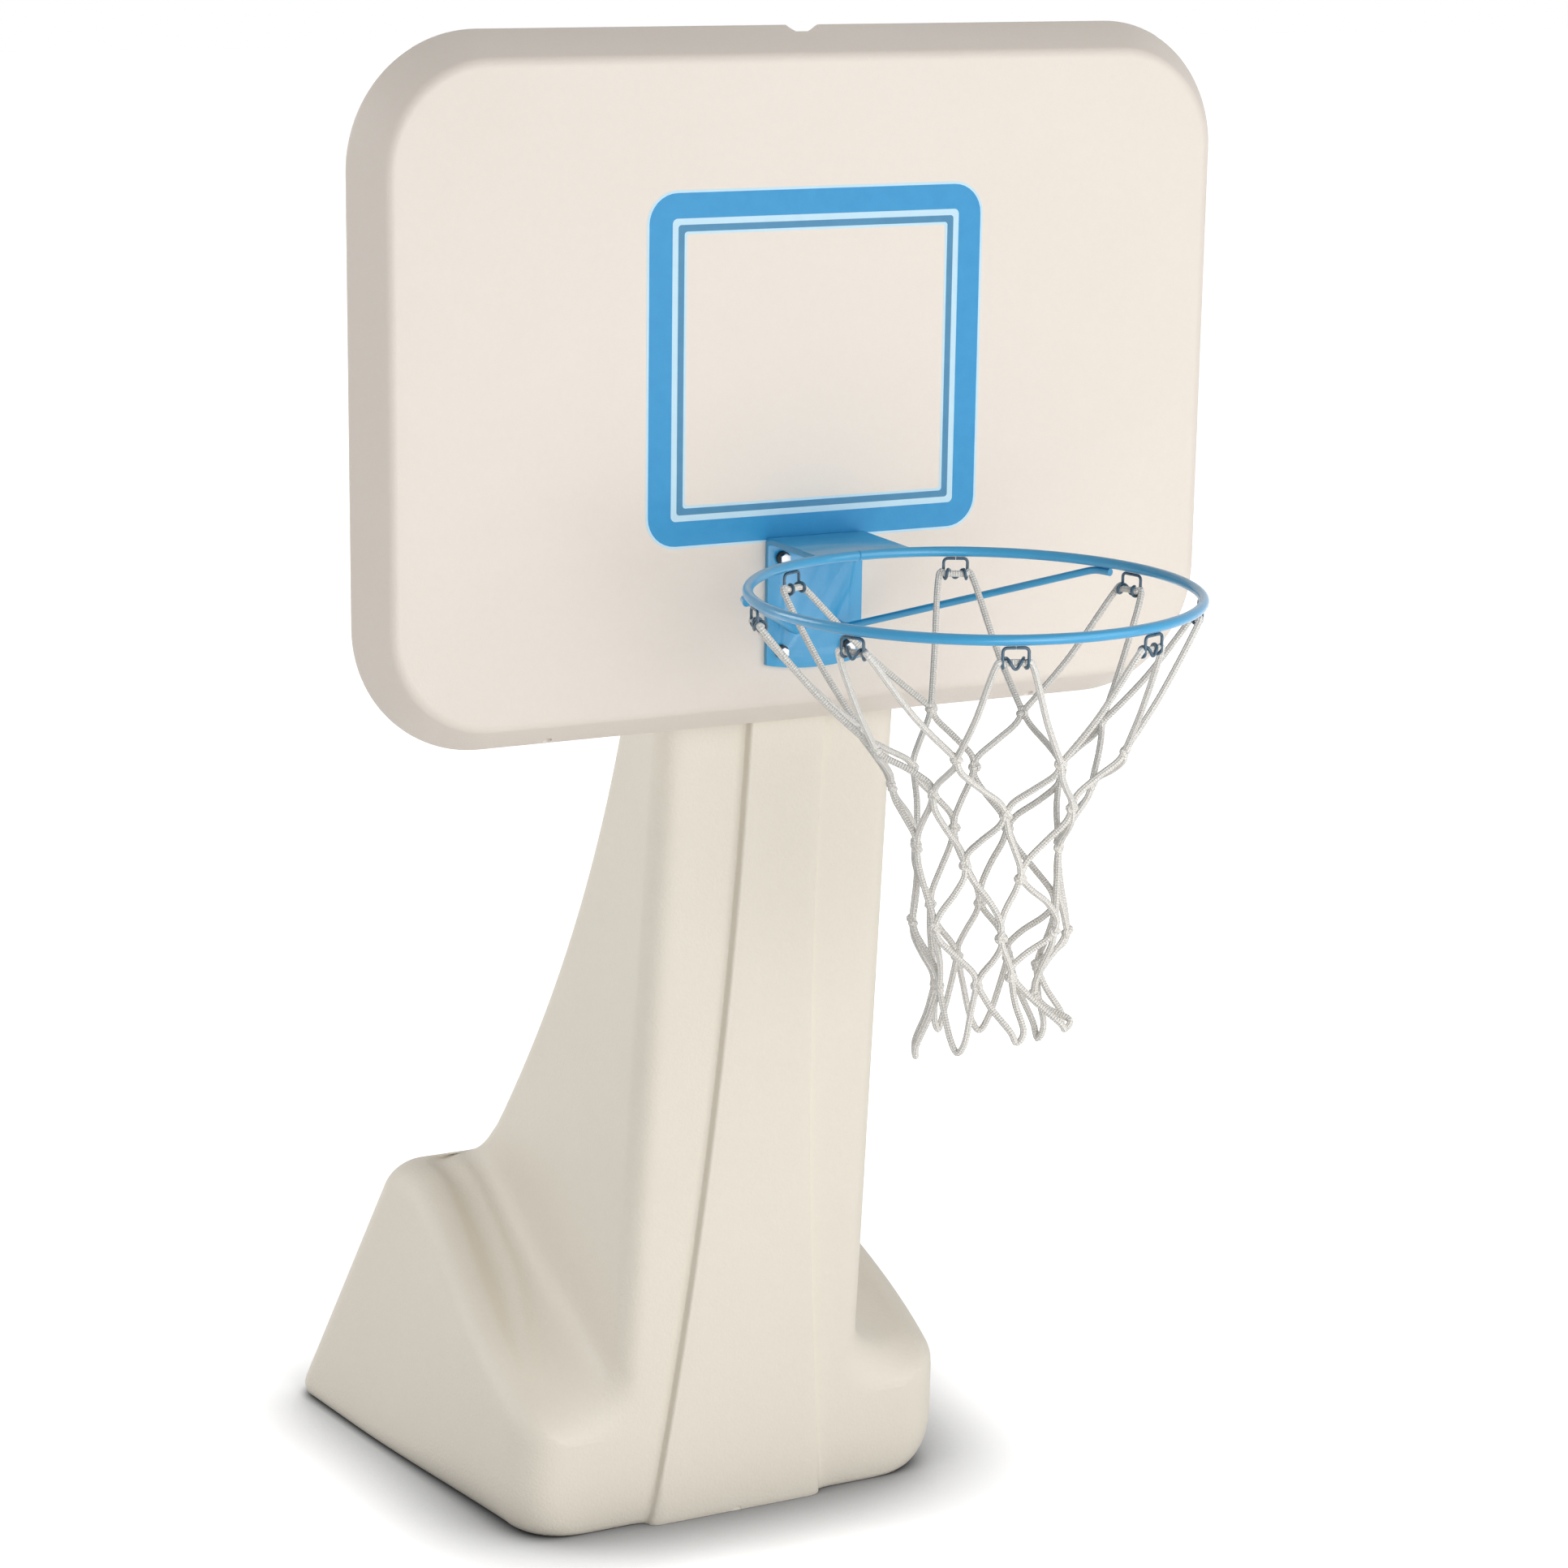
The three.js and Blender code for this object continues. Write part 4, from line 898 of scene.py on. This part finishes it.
hook = {
    "turns": [0.042, 0.183, 0.325, 0.467, 0.583, 0.696, 0.805, 0.935],
    "wire": 2.4, "width": 18.8, "corner": 3.2, "drop": 11.8, "coil": 3.7, "coilStep": 4.1, "split": 0.5,
    "veeStart": 0.75, "veeRun": 8, "veeDrop": 15.4,
    "veeFoot": [(-1.7, 0.9), (-0.8, 0.2), (0, 0), (0.8, 0.2), (1.7, 0.9)],
}
hookTop = ring["height"] - ring["rod"] / 2 - 0.3 - hook["wire"] / 2
hookCount = len(hook["turns"])


def hookAngle(index):
    lap, seat = divmod(index, hookCount)
    return fullTurn * (hook["turns"][seat] + lap)


def hookHalf(side):  # local x runs along the ring, y towards its middle, z up
    h = hook
    half = h["width"] / 2
    points = [(h["split"] / 2, 0, 0)]
    for share in steps(6):
        angle = quarterTurn * share
        across = half - h["corner"] * (1 - math.sin(angle))
        points.append((across, 0, -h["corner"] * (1 - math.cos(angle))))
    for share in steps(24):
        angle = fullTurn * share
        y = h["coil"] * (1 - math.cos(angle))
        inward = h["veeRun"] * max(0, share - h["veeStart"])
        points.append((half - h["coilStep"] * share - inward, y, -h["drop"] - h["coil"] * math.sin(angle)))
    return [Vector((side * x, y, z)) * mm for x, y, z in points]


def makeHook(name, index):
    bottom = [Vector((x, 0, z - hook["veeDrop"])) * mm for x, z in hook["veeFoot"]]
    points = hookHalf(-1) + bottom + hookHalf(1)[::-1]
    piece = makeWire(name, points, hook["wire"] / 2, 12)
    centre = Matrix.Translation(place(0, -ring["reach"], hookTop))
    turn = Matrix.Rotation(hookAngle(index) + quarterTurn, 4, "Z")
    piece.data.transform(centre @ turn @ Matrix.Translation((0, -ring["radius"] * mm, 0)))
    return piece


for index in range(hookCount):
    piece = makeHook(f"netHook{index + 1}", index)
    finishPiece(piece, darkSteel, [f"net_hook_{index + 1}"], angle=60)
print("net hooks bent")


net = {
    "cord": 5.1, "bend": 13.5, "drop": 360, "sides": 12, "ringStep": 1.6, "sway": (19, 1.4),
    "rowDrops": [0.308, 0.411, 0.544, 0.71, 0.816, 1],
    "rowRadii": [0.605, 0.441, 0.338, 0.338, 0.256, 0.318],
    "knotSize": 3.1, "stray": 2.5, "waver": 2.5, "bow": (-0.14, 0.2), "steep": 0.1, "loopHalf": 0.36,
}
rowCount = len(net["rowDrops"])
knotShifts = {  # right and up as seen from the camera, in millimetres, by row and place in the row
    (0, 0): (-12, -5), (0, 1): (5, 0), (0, 3): (-9, 4), (0, 4): (-6, 5), (0, 7): (-11, 5),
    (1, 1): (-6, -6), (1, 2): (3, 1), (1, 3): (-4, 3), (1, 4): (-6, 6), (1, 5): (-3, -4), (1, 6): (6, -6),
    (2, 0): (-4, 3), (2, 1): (2, 0), (2, 3): (-9, 8), (2, 4): (-6, -3), (2, 5): (-5, -11), (2, 6): (0, 3),
    (3, 0): (9, 4), (3, 2): (2, 1), (3, 3): (-4, 2), (3, 4): (-10, 5), (3, 6): (9, 3), (3, 7): (5, -6),
    (4, 2): (4, -14), (4, 3): (-4, -6), (4, 4): (-1, 2), (4, 5): (-2, 4), (4, 6): (-6, -17),
    (5, 2): (10, 7), (5, 3): (-2, 0), (5, 4): (9, 13), (5, 5): (17, 24), (5, 6): (18, 31), (5, 7): (6, 22),
}


def curveThrough(points, step):  # a smooth path through points, resampled at even steps
    dense = []
    for index in range(len(points) - 1):
        before = points[max(index - 1, 0)]
        start, end = points[index], points[index + 1]
        after = points[min(index + 2, len(points) - 1)]
        for part in range(16):
            t = part / 16
            dense.append(0.5 * (
                2 * start + (end - before) * t + (2 * before - 5 * start + 4 * end - after) * t ** 2
                + (3 * start - before - 3 * end + after) * t ** 3))
    dense.append(points[-1])
    lengths = [0]
    for index in range(1, len(dense)):
        lengths.append(lengths[-1] + (dense[index] - dense[index - 1]).length)
    count = max(2, round(lengths[-1] / (step * mm)))
    path, segment = [], 0
    for part in range(count + 1):
        want = lengths[-1] * part / count
        while segment < len(dense) - 2 and lengths[segment + 1] < want:
            segment += 1
        share = (want - lengths[segment]) / max(lengths[segment + 1] - lengths[segment], 1e-9)
        path.append(dense[segment].lerp(dense[segment + 1], limit(share)))
    return path


def addCord(shape, lay, path, radius, sides):  # a tube along a path, with its lay in a UV map
    along = (path[1] - path[0]).normalized()
    normal = along.orthogonal().normalized()
    loops, length = [], 0
    for index, point in enumerate(path):
        ahead = (path[min(index + 1, len(path) - 1)] - path[max(index - 1, 0)]).normalized()
        normal = (normal - ahead * normal.dot(ahead)).normalized()
        across = ahead.cross(normal)
        if index:
            length += (point - path[index - 1]).length
        loop = []
        for side in range(sides):
            angle = fullTurn * side / sides
            out = normal * math.cos(angle) + across * math.sin(angle)
            loop.append(shape.verts.new(point + out * radius))
        loops.append((loop, length / (fullTurn * radius)))
    for (first, low), (second, high) in zip(loops, loops[1:]):
        for side in range(sides):
            nextSide = (side + 1) % sides
            face = shape.faces.new((first[side], first[nextSide], second[nextSide], second[side]))
            face.smooth = True
            shares = (side / sides, (side + 1) / sides)
            for corner, spot in zip(face.loops, (
                    (shares[0], low), (shares[1], low), (shares[1], high), (shares[0], high))):
                corner[lay].uv = spot
    shape.faces.new(loops[0][0][::-1])
    shape.faces.new(loops[-1][0])


def netPoint(angle, along, radius, z):
    x = radius * math.cos(angle) - along * math.sin(angle)
    y = radius * math.sin(angle) + along * math.cos(angle)
    return place(x, y - ring["reach"], z)


def knotAngle(row, index):  # under the hooks in the odd rows, between them in the even rows
    if row % 2:
        return hookAngle(index)
    return (hookAngle(index) + hookAngle(index + 1)) / 2


def knotPlaces():  # where each knot hangs
    draw = random.Random(11)
    azimuth = math.radians(view["azimuth"])
    places = {}
    for row in range(rowCount):
        for index in range(hookCount):
            radius = ring["radius"] * net["rowRadii"][row]
            z = ring["height"] - net["drop"] * net["rowDrops"][row]
            right, up = knotShifts.get((row, index), (0, 0))
            along, out = (draw.uniform(-net["stray"], net["stray"]) for axis in range(2))
            x = net["sway"][0] + right * math.cos(azimuth)
            y = net["sway"][1] + right * math.sin(azimuth)
            if row < rowCount - 1:
                up += draw.uniform(-net["stray"], net["stray"])
            shift = Vector((x, y, up)) * mm
            places[row, index] = netPoint(knotAngle(row, index), along, radius + out, z) + shift
    return places


def knotPath(centre, along, down):  # an overhand knot: a trefoil pulled small
    out = along.cross(down).normalized()
    points = []
    size = net["knotSize"] * mm
    for share in steps(36):
        t = fullTurn * share
        x = (math.sin(t) + 2 * math.sin(2 * t)) / 3
        y = (math.cos(t) - 2 * math.cos(2 * t)) / 3
        z = -math.sin(3 * t) * 0.42
        points.append(centre + size * (along * x + down * y * 1.1 + out * z))
    return points


def makeNet():
    places = knotPlaces()
    draw = random.Random(23)
    shape = bmesh.new()
    lay = shape.loops.layers.uv.new("lay")
    radius = net["cord"] / 2 * mm

    def cord(points):
        addCord(shape, lay, curveThrough(points, net["ringStep"]), radius, net["sides"])

    def link(start, end):  # bows to one side, and leaves and meets its knots a little steeply
        run = end - start
        level = Vector((run.x, run.y, 0))
        bow = level * draw.uniform(*net["bow"])
        bow += Vector([draw.uniform(-net["waver"], net["waver"]) for axis in range(3)]) * mm
        steep = level * -net["steep"]
        cord([start, start.lerp(end, 0.22) + bow * 0.6 + steep, start.lerp(end, 0.5) + bow,
              start.lerp(end, 0.78) + bow * 0.6 - steep, end])

    ropeHeight = hookTop - hook["drop"]
    for index in range(hookCount):
        previous = (index + hookCount - 1) % hookCount

        def onHook(along, drop=0):
            return netPoint(hookAngle(index), along, ring["radius"] - hook["coil"], ropeHeight - drop)

        low, high = places[0, previous], places[0, index]
        first, last = onHook(-net["bend"], 3), onHook(net["bend"], 3)
        hang = Vector((0, 0, -5 * mm))
        cord([low, low.lerp(first, 0.5) + hang, first, onHook(-7), onHook(7), last,
              high.lerp(last, 0.5) + hang, high])
        for row in range(rowCount - 2):
            neighbour = (index + 1) % hookCount if row % 2 == 0 else previous
            for lower in (index, neighbour):
                link(places[row, index], places[row + 1, lower])
        start, end = places[rowCount - 2, previous], places[rowCount - 2, index]
        bottom = places[rowCount - 1, index]
        width = (end - start) * net["loopHalf"]
        width.z = 0
        rise = Vector((0, 0, 0.2 * (bottom.z - (start.z + end.z) / 2)))
        cord([start, start.lerp(bottom, 0.4) - width * 0.15, bottom - width * 0.55 - rise, bottom,
              bottom + width * 0.55 - rise, end.lerp(bottom, 0.4) + width * 0.15, end])
    for row in range(rowCount - 1):
        for index in range(hookCount):
            angle = knotAngle(row, index)
            along = Vector((-math.sin(angle), math.cos(angle), 0))
            lower = places[row + 1, index]
            down = (lower - places[row, index]).normalized()
            down = (down - along * down.dot(along)).normalized()
            path = curveThrough(knotPath(places[row, index], along, down), 1.2)
            addCord(shape, lay, path, radius * 0.95, 10)
    mesh = bpy.data.meshes.new("cordNet")
    shape.to_mesh(mesh)
    shape.free()
    piece = bpy.data.objects.new("cordNet", mesh)
    bpy.context.scene.collection.objects.link(piece)
    return piece


cordNet = makeNet()
finishPiece(cordNet, whiteCord, ["net"], angle=70)
print("net knotted", len(cordNet.data.polygons))
